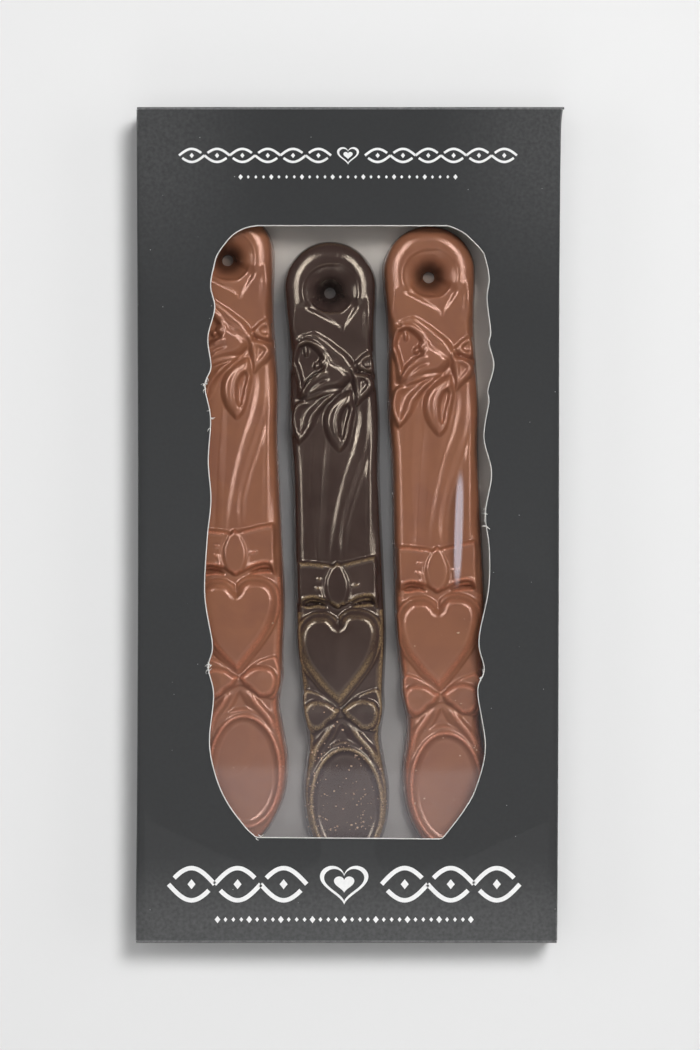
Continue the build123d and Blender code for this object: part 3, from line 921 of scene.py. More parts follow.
@dataclass
class Mould:
    """The mould of all three spoons, as heights in millimetres on a fine grid about the hanging hole.

    Pairs named for a fade hold where it starts and where it is complete.
    """

    pitch: float = 0.125
    margin: float = 0.5
    low: Point = (-13.0, -156.0)
    high: Point = (13.0, 15.0)
    middle: float = 0.1
    head_centre: float = 1.4
    head_radius: float = 12.35
    crown_samples: int = 40
    side: tuple[Point, ...] = (
        (12.1, -4), (11.8, -8), (11.6, -16), (11.9, -26), (12.1, -35), (11.6, -47), (11.7, -60),
        (11.9, -74), (12, -91), (11.1, -104), (11, -110), (9.8, -117), (10.4, -123), (11.5, -132),
        (10.2, -142), (5.4, -151), (0, -154.8))
    outline_samples: int = 260
    ground: float = 6.8
    top: float = 9.4
    steep: float = 14.0
    shoulder: float = 2.8
    drop: float = 2.0
    edge_round: float = 1.35
    edge_drop: float = 3.6
    rim_shoulder: float = 1.9
    rim_drop: float = 2.0
    ring_shoulder: float = 4.9
    ring_drop: float = 2.6
    ring_top: float = 9.2
    ring_fade: Point = (-13.0, -9.0)
    dish: tuple[Point, ...] = (
        (0, 1.8), (1.5, 2.4), (2, 3.6), (3, 5.6), (4, 7), (5.3, 8.05), (7.3, 8.95), (8.8, 9.2), (30, 9.2))
    trough: tuple[Point, ...] = (
        (0, 1.8), (1.5, 2.4), (3, 4.1), (4.5, 5.7), (6, 7.1), (7.5, 7.9), (30, 8.2))
    trough_from: Point = (0.5, 0.6)
    trough_fade: Point = (70.0, 44.0)
    hole_radius: float = 1.5
    soften: float = 0.17
    # Pale edge marks, partly scuffs and partly painted highlight along raised edges.
    worn_reach: float = 0.45
    worn_bulge: Point = (0.03, 0.17)
    worn_level_fade: Point = (8.0, 9.0)
    upper_pale_mark: float = 0.15
    upper_fade: Point = (-66.0, -74.0)
    bow_foot: float = -84.0
    heart_pale_band: Point = (0.9, 1.1)
    heart_pale_band_fade: Point = (-92.0, -101.0)
    # Painted shade in the hanging hole's dish, and how strongly it darkens the colour.
    hollow_fade: Point = (5.6, 2.0)
    hollow_depth: float = 0.85

    def half_outline(self, count: int) -> Array:
        """The right half of the silhouette from the head's top to the bowl's tip.

        Args:
            count: Number of samples.

        Returns:
            Samples as offsets from the middle line and Y.
        """
        turns = quarter_turn(self.crown_samples + 1)[:-1]
        crown = np.stack([self.head_radius * np.sin(turns),
                          self.head_centre + self.head_radius * np.cos(turns)], axis=1)
        joint = (self.head_radius, self.head_centre)
        mirrored = (-self.side[-2][0], self.side[-2][1])
        flank = smooth_path([joint, *self.side, mirrored])[:-CURVE_STEPS]
        return even_path(np.vstack([crown, flank[:-1], [self.side[-1]]]), count)

    def __post_init__(self) -> None:
        """Lay the grid and carve it."""
        xs, ys = (np.arange(low, high + self.pitch, self.pitch) for low, high in zip(self.low, self.high))
        self.x, self.y = np.meshgrid(xs, ys)
        self.body()
        for form in [*COLLAR, *STEMS, *FLOWER, *BOW, *SCROLLS, *HEART_FORMS, *BOWL]:
            if isinstance(form, Pad):
                self.press(form)
            else:
                self.draw(form)
        self.z = blurred(np.minimum(self.z, self.limit), self.soften / self.pitch)
        self.pale_marks_and_shade()

    def body(self) -> None:
        """Raise the drafted slab with its rounded shoulder, and the head's ring and dish."""
        half = self.half_outline(self.outline_samples)
        outline = np.vstack([half + (self.middle, 0), (half * (-1, 1) + (self.middle, 0))[::-1]])
        depth = np.maximum(depth_in(self.x, self.y, outline), 0)
        wall = self.steep * depth
        turned = self.edge_drop * round_over(depth, self.edge_round)
        flank = self.ground - self.drop * round_over(depth, self.shoulder)
        self.z = np.minimum(flank - turned, wall)
        # Outer limit of every form, so that none overhangs the mould's drafted wall.
        rim = self.top - self.rim_drop * round_over(depth, self.rim_shoulder)
        self.limit = np.minimum(rim - turned, wall)
        crown = self.ring_top - self.ring_drop * round_over(depth, self.ring_shoulder)
        away = np.hypot(self.x, self.y)
        dish, trough = (np.interp(away, *smooth_path(cut).T) for cut in (self.dish, self.trough))
        down = np.degrees(np.arctan2(self.x - self.trough_from[0], -(self.y - self.trough_from[1])))
        open_side = ramp(np.abs(down), *self.trough_fade)
        hollowed = dish * (1 - open_side) + trough * open_side
        ring = np.minimum(np.minimum(crown - turned, wall), hollowed)
        share = ramp(self.y, *self.ring_fade)
        self.z = self.z * (1 - share) + ring * share

    def pale_marks_and_shade(self) -> None:
        """Mark how far each place is paled, partly by scuffing and partly as painted highlight, and the
        painted shade in the hanging hole's dish.
        """
        bulge = self.z - blurred(self.z, self.worn_reach / self.pitch)
        start, full = self.worn_bulge
        self.worn = np.clip((bulge - start) / (full - start), 0, 1) * ramp(self.limit, *self.worn_level_fade)
        # Above the bow the edges get little scuffing and little painted highlight.
        self.worn *= self.upper_pale_mark + (1 - self.upper_pale_mark) * ramp(self.y, *self.upper_fade)
        # On the bow only the edges that run across the spoon are paled, as scuffs and painted highlight.
        up, across = np.gradient(self.z)
        run = up ** 2 / (up ** 2 + across ** 2 + TINY)
        self.worn *= np.where(self.y > self.bow_foot, run ** 2, 1.0)
        # The heart's lower sides are paled in a broad band, as scuffs and painted highlight.
        depth = depth_in(self.x, self.y, smooth_path(HEART, closed=True))
        centre, half = self.heart_pale_band
        band = ease(1 - np.abs(depth - centre) / half) * (depth > 0)
        self.worn = np.maximum(self.worn, band * ramp(self.y, *self.heart_pale_band_fade))
        # Painted shade, darkest at the hanging hole.
        self.hollow = self.hollow_depth * ramp(np.hypot(self.x, self.y), *self.hollow_fade)

    def near(self, path: Array, margin: float) -> tuple[slice, slice]:
        """Find the part of the grid that lies round a path.

        Args:
            path: The path's points.
            margin: How far from the path the part reaches.

        Returns:
            The part's rows and columns.
        """
        low = np.floor((path.min(0) - margin - self.low) / self.pitch).astype(int)
        high = np.ceil((path.max(0) + margin - self.low) / self.pitch).astype(int) + 1
        rows, columns = self.z.shape
        return slice(max(low[1], 0), min(high[1], rows)), slice(max(low[0], 0), min(high[0], columns))

    def press(self, pad: Pad) -> None:
        """Carve a form with an outline.

        Args:
            pad: The form.
        """
        path = smooth_path(pad.outline, closed=True)
        part = self.near(path, abs(pad.inset) + self.margin)
        px, py = self.x[part], self.y[part]
        share = np.clip((depth_in(px, py, path) - pad.inset) / pad.edge, 0, 1)
        lift = ease(share) if pad.style is Edge.SOFT else 1 - (1 - share) ** 2
        centre = path.mean(0)
        level = pad.level + pad.tilt[0] * (px - centre[0]) + pad.tilt[1] * (py - centre[1])
        self.z[part] += (level - self.z[part]) * lift

    def draw(self, stroke: Stroke) -> None:
        """Carve a ridge or groove.

        Args:
            stroke: The ridge or groove.
        """
        path = smooth_path(stroke.path)
        part = self.near(path, stroke.width)
        gap, along = nearest(self.x[part], self.y[part], path)
        section = np.clip(1 - (gap / stroke.width) ** 2, 0, 1) ** 2
        ends = ease(np.minimum(along, 1 - along) / stroke.taper)
        self.z[part] += stroke.rise * section * ends

    def read(self, values: Array, px: Array, py: Array) -> Array:
        """Read a grid of values between its points.

        Args:
            values: The grid.
            px: X of the places to read.
            py: Y of the places to read.

        Returns:
            The value at each place.
        """
        rows, columns = (size - 1 - SLIVER for size in self.x.shape)
        across = np.clip((px - self.low[0]) / self.pitch, 0, columns)
        up = np.clip((py - self.low[1]) / self.pitch, 0, rows)
        c, r = across.astype(int), up.astype(int)
        fc, fr = across - c, up - r
        lower = values[r, c] * (1 - fc) + values[r, c + 1] * fc
        upper = values[r + 1, c] * (1 - fc) + values[r + 1, c + 1] * fc
        return lower * (1 - fr) + upper * fr


@dataclass(frozen=True)
class Crumbs:
    """Crumbs that lie on a spoon's lower half.

    Attributes:
        seed: Seed of their places and shapes.
        spread: How far up from the lowest place they reach.
        crowding: Power that draws them towards the foot.
        width: Distances below the hanging hole, and half the width that they lie in there.
        rim_turns: Stretch of the rim that they gather on, in degrees.
        rim_reach: How far out they lie there, as shares of the dish's radii.
        size: Radius of the smallest, and what the largest has over it.
        rarity: Power that makes large ones rare.
        lift: Height of a crumb's middle over the chocolate, as a share of its radius.
    """

    count: int
    seed: int
    spread: float
    foot: float = -141.5
    crowding: float = 1.5
    width: tuple[tuple[float, ...], tuple[float, ...]] = ((80, 117, 132, 148), (9.9, 8.1, 9.45, 6.3))
    rim_share: float = 0.4
    rim_turns: Point = (-25, 205)
    rim_reach: Point = (0.95, 1.17)
    size: Point = (0.08, 0.2)
    rarity: int = 3
    lumps: Point = (0.6, 1.3)
    stretch: tuple[Point, ...] = ((0.7, 1.8), (0.7, 1.4), (0.5, 0.9))
    lift: float = 0.3

    def place(self, dice: random.Random) -> Point:
        """Choose where a crumb lies.

        Args:
            dice: The source of chance.

        Returns:
            The place, about the hanging hole.
        """
        y = self.foot + self.spread * dice.random() ** self.crowding
        x = dice.uniform(-1, 1) * float(np.interp(-y, *self.width))
        if dice.random() < self.rim_share:
            turn, out = math.radians(dice.uniform(*self.rim_turns)), dice.uniform(*self.rim_reach)
            x = BOWL_CENTRE[0] + BOWL_RADII[0] * out * math.cos(turn)
            y = BOWL_CENTRE[1] + BOWL_RADII[1] * out * math.sin(turn)
        return x, y


@dataclass
class ChocolateSpoon:
    """One moulded spoon, laid in the tray.

    Attributes:
        name: The CAD node and body.
        slot: The record's slot of its chocolate.
        hole: Where its hanging hole lies.
        lean: Its turn about Z in degrees.
        pinholes: Air holes in its face as X, Y and radius about the hanging hole.
    """

    name: str
    slot: Slot
    hole: Point
    lean: float
    pinholes: list[tuple[float, float, float]]
    crumbs: Crumbs
    pinhole_depth: float = 1.4
    pinhole_reach: float = 1.25
    bottom: float = 2.9
    rows: int = 640
    rim_insets: tuple[float, ...] = (0, 0.1, 0.28, 0.52, 0.8, 1.1, 1.4, 1.7, 2, 2.3, 2.6, 2.9)
    inner_columns: int = 33
    half_width: float = 12.0
    spine_ends: Point = (-141.0, 1.4)
    weld: float = 0.002
    sharp_angle: float = 62.0
    drill_sides: int = 40
    drill_span: Point = (-1.0, 11.0)

    def to_frame(self, points: Array) -> Array:
        """Move points from the spoon's own frame to its place in the tray.

        Args:
            points: The points, one row each.

        Returns:
            The moved points.
        """
        turn = math.radians(self.lean)
        x, y, z = points.T
        return points_at(self.hole[0] + x * math.cos(turn) - y * math.sin(turn),
                         self.hole[1] + x * math.sin(turn) + y * math.cos(turn), z + self.bottom)

    def heights(self, mould: Mould, px: Array, py: Array) -> Array:
        """Measure the height of this spoon's face, with its pinholes.

        Args:
            mould: The mould.
            px: X of the places, about the hanging hole.
            py: Y of the places.

        Returns:
            The height at each place.
        """
        z = mould.read(mould.z, px, py)
        for x, y, radius in self.pinholes:
            away = np.hypot(px - x, py - y) / radius
            z = z - self.pinhole_depth * radius * ease(self.pinhole_reach - away)
        return z

    def cast(self, mould: Mould, chocolate: Material) -> None:
        """Cast the spoon's mesh: rows along it, columns from edge to edge, a flat back and a drilled hole.

        Args:
            mould: The mould.
            chocolate: The spoon's material.
        """
        side = mould.half_outline(self.rows)
        insets = np.array(self.rim_insets) / self.half_width
        inward = np.concatenate([insets, np.linspace(insets[-1], 1, self.inner_columns + 1)[1:]])
        spine = np.stack([np.zeros(self.rows), np.clip(side[:, 1], *self.spine_ends)], axis=1)
        right = side[:, None, :] + (spine - side)[:, None, :] * inward[None, :, None]
        plan = np.concatenate([right * (-1, 1), right[:, -2::-1]], axis=1) + (mould.middle, 0)
        z = self.heights(mould, plan[..., 0], plan[..., 1])
        z[:, 0] = z[:, -1] = 0
        for end in (0, -1):
            z[end] = np.where(np.abs(plan[end, :, 1] - side[end, 1]) < TINY, 0, z[end])
        points = points_at(plan[..., 0], plan[..., 1], z).reshape(-1, 3)
        columns = plan.shape[1]
        face = [f[::-1] for f in lattice(self.rows, columns)]
        back = [(i, i + columns, i + 2 * columns - 1, i + columns - 1)
                for i in range(0, (self.rows - 1) * columns, columns)]
        spoon = make_piece(f"{self.name}_carved", points, face + back, [chocolate], weld=self.weld)
        self.drill(spoon, mould)
        local = places_of(spoon)
        for name, values in (("worn", mould.worn), ("hollow", mould.hollow)):
            mark(spoon, name, mould.read(values, local[:, 0], local[:, 1]))
        placed = self.to_frame(local) * MM
        spoon.data.vertices.foreach_set("co", placed.astype(np.float32).ravel())
        spoon.data.update()
        sharpen(spoon, self.sharp_angle)
        dress(spoon, self.slot, self.name)
        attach(spoon, self.name)

    def drill(self, spoon: Object, mould: Mould) -> None:
        """Cut the hanging hole right through.

        Args:
            spoon: The spoon.
            mould: The mould.
        """
        sides = self.drill_sides
        ring = np.array(ellipse((0, 0), (mould.hole_radius, mould.hole_radius), sides))
        points = np.vstack([points_at(*ring.T, z) for z in self.drill_span])
        ends = [tuple(range(sides))[::-1], tuple(range(sides, 2 * sides))]
        drill = make_piece("drill", points, hoops(2, sides) + ends, [])
        cut = spoon.modifiers.new("hole", "BOOLEAN")
        cut.operation = "DIFFERENCE"
        cut.solver = "EXACT"
        cut.object = drill
        bake_modifiers(spoon)
        bpy.data.objects.remove(drill)

    def scatter(self, mould: Mould, crumb: Material) -> None:
        """Scatter the crumbs, each an uneven lump that sits on the chocolate.

        Args:
            mould: The mould.
            crumb: The crumbs' material.
        """
        crumbs = self.crumbs
        dice = random.Random(crumbs.seed)
        lump = bmesh.new()
        bmesh.ops.create_icosphere(lump, subdivisions=1, radius=1.0)
        ball = np.array([v.co for v in lump.verts])
        ball_faces = [tuple(v.index for v in f.verts) for f in lump.faces]
        lump.free()
        points, faces = [], []
        for _ in range(crumbs.count):
            x, y = crumbs.place(dice)
            size = crumbs.size[0] + crumbs.size[1] * dice.random() ** crumbs.rarity
            rough = np.array([[dice.uniform(*crumbs.lumps)] for _ in ball])
            stretch = np.array([dice.uniform(*reach) for reach in crumbs.stretch])
            z = float(self.heights(mould, np.array([x]), np.array([y]))[0])
            faces += [tuple(len(points) + i for i in f) for f in ball_faces]
            points += list(ball * rough * stretch * size + (x, y, z + crumbs.lift * size))
        piece = make_piece(f"{self.name}_crumbs", self.to_frame(np.array(points)), faces, [crumb])
        dress(piece, self.slot)
        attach(piece, self.name)


@dataclass
class SpoonTray:
    """The formed tray: a shelf round one drafted pocket, with rounded lips, end lips and side skirts."""

    outer: Point = (53.65, 106.9)
    pocket: Point = (46.05, 93.0)
    pocket_middle: float = -5.0
    pocket_corner: float = 6.0
    end_room: float = 1.8
    outer_corner: float = 1.5
    shelf: float = 11.0
    floor: float = 2.8
    floor_round: float = 1.5
    draft: float = 0.8
    lip: float = 1.0
    brim: float = 0.6
    sheet: float = 0.4
    skirt_foot: float = 0.5
    end_foot: float = 7.5
    skirt_length: float = 92.9
    corner_points: int = 8
    side_points: int = 40
    brim_points: int = 4
    lip_points: int = 5

    def rounded(self, half: Point, corner: float, middle: float) -> Array:
        """Draw a rectangle with round corners, with the same number of points for every size.

        Args:
            half: Half its size.
            corner: Radius of its corners.
            middle: Y of its middle.

        Returns:
            The points round it.
        """
        hx, hy = half[0] - corner, half[1] - corner
        turns = quarter_turn(self.corner_points)
        arc = np.stack([np.cos(turns), np.sin(turns)], axis=1) * corner
        bends = []
        for sx, sy in ((1, 1), (-1, 1), (-1, -1), (1, -1)):
            bends.append(arc[::sx * sy] * (sx, sy) + (sx * hx, sy * hy))
        loop = []
        for bend, after in zip(bends, bends[1:] + bends[:1]):
            loop += [bend, np.linspace(bend[-1], after[0], self.side_points + 2)[1:-1]]
        return np.vstack(loop) + (0, middle)

    def build(self, plastic: Material) -> None:
        """Form the tray from rings that run from the skirt's foot to the pocket's floor.

        Args:
            plastic: The tray's material.
        """
        outer = self.rounded(self.outer, self.outer_corner, 0.0)
        long_side = np.abs(outer[:, 1]) < self.skirt_length
        rings = [points_at(*outer.T, np.where(long_side, self.skirt_foot, self.end_foot))]
        under = self.shelf - self.brim
        for turn in quarter_turn(self.brim_points):
            inset = self.brim * (1 - math.cos(turn))
            ring = self.rounded((self.outer[0] - inset, self.outer[1] - inset), self.outer_corner, 0.0)
            rings.append(points_at(*ring.T, under + self.brim * math.sin(turn)))
        turns = quarter_turn(self.lip_points)
        wall = [(self.lip * (1 - math.sin(t)), self.shelf - self.lip * (1 - math.cos(t))) for t in turns]
        wall.append((-self.draft * 0.5, (self.shelf + self.floor) / 2))
        wall += [(-self.draft - self.floor_round * (1 - math.cos(t)),
                  self.floor + self.floor_round * (1 - math.sin(t))) for t in turns]
        for inset, height in wall:
            # The ends stand back, so that a spoon pushed to its stop clears the round along the floor.
            half = (self.pocket[0] + inset, self.pocket[1] + inset + self.end_room)
            ring = self.rounded(half, self.pocket_corner + inset, self.pocket_middle)
            rings.append(points_at(*ring.T, height))
        points = np.vstack(rings)
        count = len(outer)
        floor = tuple(range(len(points) - count, len(points)))
        tray = make_piece("spoon_tray_formed", points, [*hoops(len(rings), count), floor], [plastic])
        thicken(tray, self.sheet)
        dress(tray, Slot.TRAY, "spoon_tray")
        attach(tray, "carton")


@dataclass
class BoardStock:
    """The carton's board: printed outside, bare inside and pale at its cut edges."""

    printed: Material
    inside: Material
    core: Material
    thickness: float = 0.45

    def finishes(self) -> list[Material]:
        """The finishes in the order that thicken uses."""
        return [self.printed, self.inside, self.core]


@dataclass
class CartonSleeve:
    """The glued sleeve: front with its window, two sides and back, wrapped round four soft creases.

    Pairs named for a fade hold where it starts and where it is complete.
    """

    stock: BoardStock
    depth: float = 16.0
    crease: float = 0.8
    crease_points: int = 6
    wall_points: int = 9
    back_points: int = 25
    belly: float = 0.25
    belly_end: int = 8
    front_end: float = 108.3
    side_end: float = 107.8
    back_end: float = 108.8
    rows: int = 221
    front_columns: int = 91
    front_rings: int = 12
    cut_width: float = 0.24
    cut_drop: float = 0.22
    cut_border: float = 3.0
    weld: float = 0.005
    left_edge: tuple[Point, ...] = ((-109, -55.4), (-60, -54.95), (0, -54.75), (60, -54.9), (109, -55.15))
    right_edge: tuple[Point, ...] = (
        (-109, 54.55), (-60, 54.8), (0, 55), (60, 55.1), (100, 55.5), (109, 56.1))
    window_points: int = 40
    left_side: tuple[Point, ...] = (
        (-23.7, 77.9), (-27, 77.2), (-30.3, 75.2), (-33.6, 71), (-34.7, 68), (-35.7, 62.3), (-34.6, 56.6),
        (-36.4, 48.8), (-35.6, 41.2), (-37.2, 36.2), (-35.7, 27.9), (-36.3, 16.7), (-35.6, 6.5),
        (-36.6, -3.9), (-37.2, -18.5), (-35.2, -31.3), (-36.3, -37), (-34.9, -44.3), (-36, -56.1),
        (-34.7, -64.3), (-31.7, -71.7), (-26.9, -78.4), (-23.9, -81.3))
    right_side: tuple[Point, ...] = (
        (26.1, 77.9), (28.3, 77), (30.7, 75.6), (34.5, 71.8), (35.7, 69.4), (36.7, 64.1), (36.1, 59),
        (37.1, 50.3), (36.6, 47.4), (37.9, 41.6), (36.3, 35.2), (36.6, 32.1), (35.3, 22.8), (37.3, 13.6),
        (35.7, 3.1), (36.7, -6), (36.5, -16.9), (34, -30), (35.4, -37.7), (33.7, -43.5), (35.7, -57.6),
        (33.5, -67.8), (30.4, -73.9), (25.6, -80.3), (24.3, -81.7))
    bow_half: Point = (54.0, 108.0)
    bow_wave: float = 0.1
    bow_length: float = 31.0
    bow_phase: float = 0.6
    bow_sink: float = 0.12
    end_sink: float = 0.1
    end_reach: float = 5.0
    crease_rub: float = 0.75
    crease_rub_fade: Point = (0.7, 0.0)
    crease_rub_depth: float = 0.25
    crease_rub_middle: float = 0.1
    crease_end_fade: Point = (92.0, 108.0)
    # Painted sheen near the top corners and along the foot.
    corner_sheen: float = 0.1
    corner_fades: tuple[Point, Point] = ((18.0, 52.0), (52.0, 102.0))
    foot_sheen: float = 0.13
    foot_fade: Point = (-84.0, -106.0)
    front_fade: Point = (12.0, 15.0)
    tufts: tuple[tuple[float, float, int], ...] = (
        (-37.2, 36.6, 9), (-36.4, -37.2, 11), (35.6, 2.4, 10), (-35.4, 27.4, 4), (35.6, -39, 4),
        (-22, -81.4, 3))
    tuft_seed: int = 21
    tuft_drop: float = 0.1
    tuft_reach: int = 2
    fibre_curl: Point = (-1.6, 1.6)
    fibre_length: Point = (0.4, 1.3)
    fibre_width: Point = (0.08, 0.2)
    fibre_lift: Point = (0.1, 0.25)
    fibre_half: float = 0.03
    fibre_taper: float = 0.6
    fibre_arch: float = 0.7
    fibre_points: int = 5
    fibre_weld: float = 0.001
    seam_half: float = 103.8
    seam_slant: float = 4.0
    seam_height: float = 11.0
    seam_gap: float = 0.56
    seam_foot: float = 0.6
    seam_rows: int = 61
    seam_columns: int = 7

    def edges(self, y: Array) -> tuple[Array, Array]:
        """X of the sleeve's left and right edges at Y, with the slight flare of a packed carton."""
        left, right = (np.interp(y, *smooth_path(edge).T) for edge in (self.left_edge, self.right_edge))
        return left, right

    def window(self) -> Array:
        """Draw the window.

        Returns:
            Points of its outline, clockwise from its top left corner.
        """
        right, left = smooth_path(self.right_side), smooth_path(self.left_side)[::-1]
        top = np.linspace(left[-1], right[0], self.window_points)[:-1]
        foot = np.linspace(right[-1], left[0], self.window_points)[1:-1]
        return np.vstack([top, right, foot, left[:-1]])

    def bow(self, x: Array, y: Array) -> Array:
        """Bow the front panel off its flat plane, in a slow wave that dies out at the creases.

        Args:
            x: X of places on the panel.
            y: Y of places on the panel.

        Returns:
            How far each place stands off.
        """
        half_x, half_y = self.bow_half
        inside = np.clip(1 - (x / half_x) ** 2, 0, 1) * np.clip(1 - (y / half_y) ** 2, 0, 1)
        wave = self.bow_wave * np.sin(y / self.bow_length + self.bow_phase) - self.bow_sink
        ends = self.end_sink * np.exp(-((half_y - np.abs(y)) / self.end_reach) ** 2)
        return inside * wave - ends * inside

    def swell(self, z: Values) -> Values:
        """How far a side panel swells outwards at a height."""
        return self.belly * np.sin(math.pi * z / self.depth)

    def wrap(self, share: Array) -> Array:
        """Lay out the sides and back, from the front's left edge round to its right edge.

        Args:
            share: Y of each row as a share of the panels' half length.

        Returns:
            Points by row and place round the sleeve.
        """
        turns = quarter_turn(self.crease_points)
        r, d = self.crease, self.depth
        # Each place: its offset from the panel's outer edge, its height, and its panel's end.
        side = [(r * (1 - math.sin(t)), d - r * (1 - math.cos(t)), self.front_end) for t in turns]
        side += [(0.0, z, self.side_end) for z in np.linspace(d - r, r, self.wall_points)[1:-1]]
        side += [(r * (1 - math.cos(t)), r * (1 - math.sin(t)), self.back_end) for t in turns]
        lefts, rights = [], []
        for offset, z, end in side:
            y = share * end
            left, right = self.edges(y)
            out = 0.0 if offset else self.swell(z) * (1 - share ** self.belly_end)
            lefts.append(points_at(left + offset - out, y, z))
            rights.append(points_at(right - offset + out, y, z))
        y = share * self.back_end
        left, right = self.edges(y)
        steps = np.linspace(0, 1, self.back_points)[1:-1]
        back = [points_at(left + r + (right - left - 2 * r) * step, y, 0.0) for step in steps]
        return np.stack([*lefts, *back, *rights[::-1]], axis=1)

    def build(self) -> None:
        """Make the sleeve's sheet, cut its window and give it the board's thickness."""
        wrap = self.wrap(np.linspace(-1, 1, self.rows))
        faces = lattice(*wrap.shape[:2])
        left, right = wrap[:, 0, :2], wrap[:, -1, :2]
        top = np.linspace(left[-1], right[-1], self.front_columns)
        foot = np.linspace(right[0], left[0], self.front_columns)
        border = np.vstack([top[:-1], right[::-1][:-1], foot[:-1], left[:-1]])
        cut = self.match(border)
        step = np.roll(cut, -1, axis=0) - np.roll(cut, 1, axis=0)
        outward = np.stack([-step[:, 1], step[:, 0]], axis=1)
        outward /= np.linalg.norm(outward, axis=1)[:, None]
        rings = [cut, cut + outward * self.cut_width, cut + outward * self.cut_border * self.cut_width]
        rings += [rings[2] + (border - rings[2]) * s for s in np.linspace(0, 1, self.front_rings)[1:]]
        drops = [self.cut_drop] + [0.0] * (len(rings) - 1)
        front = [points_at(*ring.T, self.depth + self.bow(*ring.T) - drop)
                 for ring, drop in zip(rings, drops)]
        points = np.vstack([wrap.reshape(-1, 3), *front])
        count = len(border)
        front_faces = hoops(len(rings), count, wrap.shape[0] * wrap.shape[1])
        # The first hoop is the cut edge, which shows the board's core.
        finish_of = [0] * len(faces) + [2] * count + [0] * (len(front_faces) - count)
        sleeve = make_piece("carton_sleeve", points, faces + front_faces, self.stock.finishes(), finish_of,
                            weld=self.weld)
        self.scuff_and_sheen(sleeve)
        thicken(sleeve, self.stock.thickness)
        dress(sleeve, Slot.BOARD, "front_panel", "back_panel", "left_side_panel", "right_side_panel")
        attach(sleeve, "carton")

    def match(self, border: Array) -> Array:
        """Match the window's outline to the front's border, by direction from the middle.

        Args:
            border: Points round the border.

        Returns:
            The window's point for each point of the border.
        """
        full = 2 * math.pi
        outline = self.window()
        angles = []
        for loop in (outline, border):
            x, y = (loop / np.abs(loop).max(0)).T
            angles.append(np.arctan2(y, x) % full)
        order = np.argsort(angles[0])
        turn, ring = angles[0][order], outline[order]
        turn = np.concatenate([turn[-1:] - full, turn, turn[:1] + full])
        ring = np.vstack([ring[-1:], ring, ring[:1]])
        return np.stack([np.interp(angles[1], turn, ring[:, axis]) for axis in (0, 1)], axis=1)

    def scuff_and_sheen(self, sleeve: Object) -> None:
        """Mark where the print is rubbed on the long creases, and a faint painted sheen near the top corners
        and the foot.

        Args:
            sleeve: The sleeve before it has its thickness.
        """
        x, y, z = places_of(sleeve).T
        left, right = self.edges(y)
        edge = np.minimum(np.abs(x - left), np.abs(x - right))
        level = np.abs(z - self.depth + self.crease_rub_depth)
        crease = ramp(edge, *self.crease_rub_fade) * ramp(level, *self.crease_rub_fade)
        middle = self.crease_rub_middle
        along = middle + (1 - middle) * ramp(np.abs(y), *self.crease_end_fade)
        # Painted sheen, faint, near the top corners and the foot.
        across, up = self.corner_fades
        corners = self.corner_sheen * ramp(np.abs(x), *across) * ramp(y, *up)
        foot = self.foot_sheen * ramp(y, *self.foot_fade)
        faint = np.maximum(corners, foot) * ramp(z, *self.front_fade)
        mark(sleeve, "worn", np.maximum(self.crease_rub * crease * along, faint))

    def fray(self) -> None:
        """Tear tufts of fibre from the window's edge where the cut turns, each a bent tapering strand."""
        dice = random.Random(self.tuft_seed)
        outline = self.window()
        half = self.fibre_half
        points, faces = [], []
        for x, y, count in self.tufts:
            middle = int(np.argmin(np.hypot(*(outline - (x, y)).T)))
            for _ in range(count):
                root = outline[(middle + dice.randint(-self.tuft_reach, self.tuft_reach)) % len(outline)]
                level = self.depth + float(self.bow(root[:1], root[1:])[0]) - self.tuft_drop
                turn, curl = dice.uniform(0, 2 * math.pi), dice.uniform(*self.fibre_curl)
                length, width = dice.uniform(*self.fibre_length), dice.uniform(*self.fibre_width)
                lift = dice.uniform(*self.fibre_lift)
                start = len(points)
                for share in np.linspace(0, 1, self.fibre_points):
                    way = turn + curl * share
                    along = np.array([math.cos(way), math.sin(way)])
                    across = np.array([-along[1], along[0]]) * width * (1 - self.fibre_taper * share)
                    centre = root + along * length * share
                    height = level + lift * math.sin(math.pi * self.fibre_arch * share)
                    for side, up in ((1, half), (-1, half), (-1, -half), (1, -half)):
                        points.append((*(centre + side * across), height + up))
                faces += hoops(self.fibre_points, 4, start)
                faces += [tuple(range(start, start + 4))[::-1], tuple(range(len(points) - 4, len(points)))]
        fibres = make_piece("window_fibres", np.array(points), faces, [self.stock.core],
                            weld=self.fibre_weld)
        dress(fibres, Slot.BOARD)
        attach(fibres, "carton")

    def glue_seam(self) -> None:
        """Fold the glue flap up from the back inside the left panel, with slanted ends."""
        row, step = np.meshgrid(np.linspace(-1, 1, self.seam_rows), np.linspace(0, 1, self.seam_columns),
                                indexing="ij")
        y = row * (self.seam_half - self.seam_slant * step)
        z = self.seam_foot + self.seam_height * step
        points = points_at(self.edges(y)[0] + self.seam_gap - self.swell(z), y, z).reshape(-1, 3)
        flap = make_piece("glue_seam", points, lattice(*row.shape), self.stock.finishes())
        thicken(flap, self.stock.thickness)
        dress(flap, Slot.BOARD, "glue_flap")
        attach(flap, "carton")


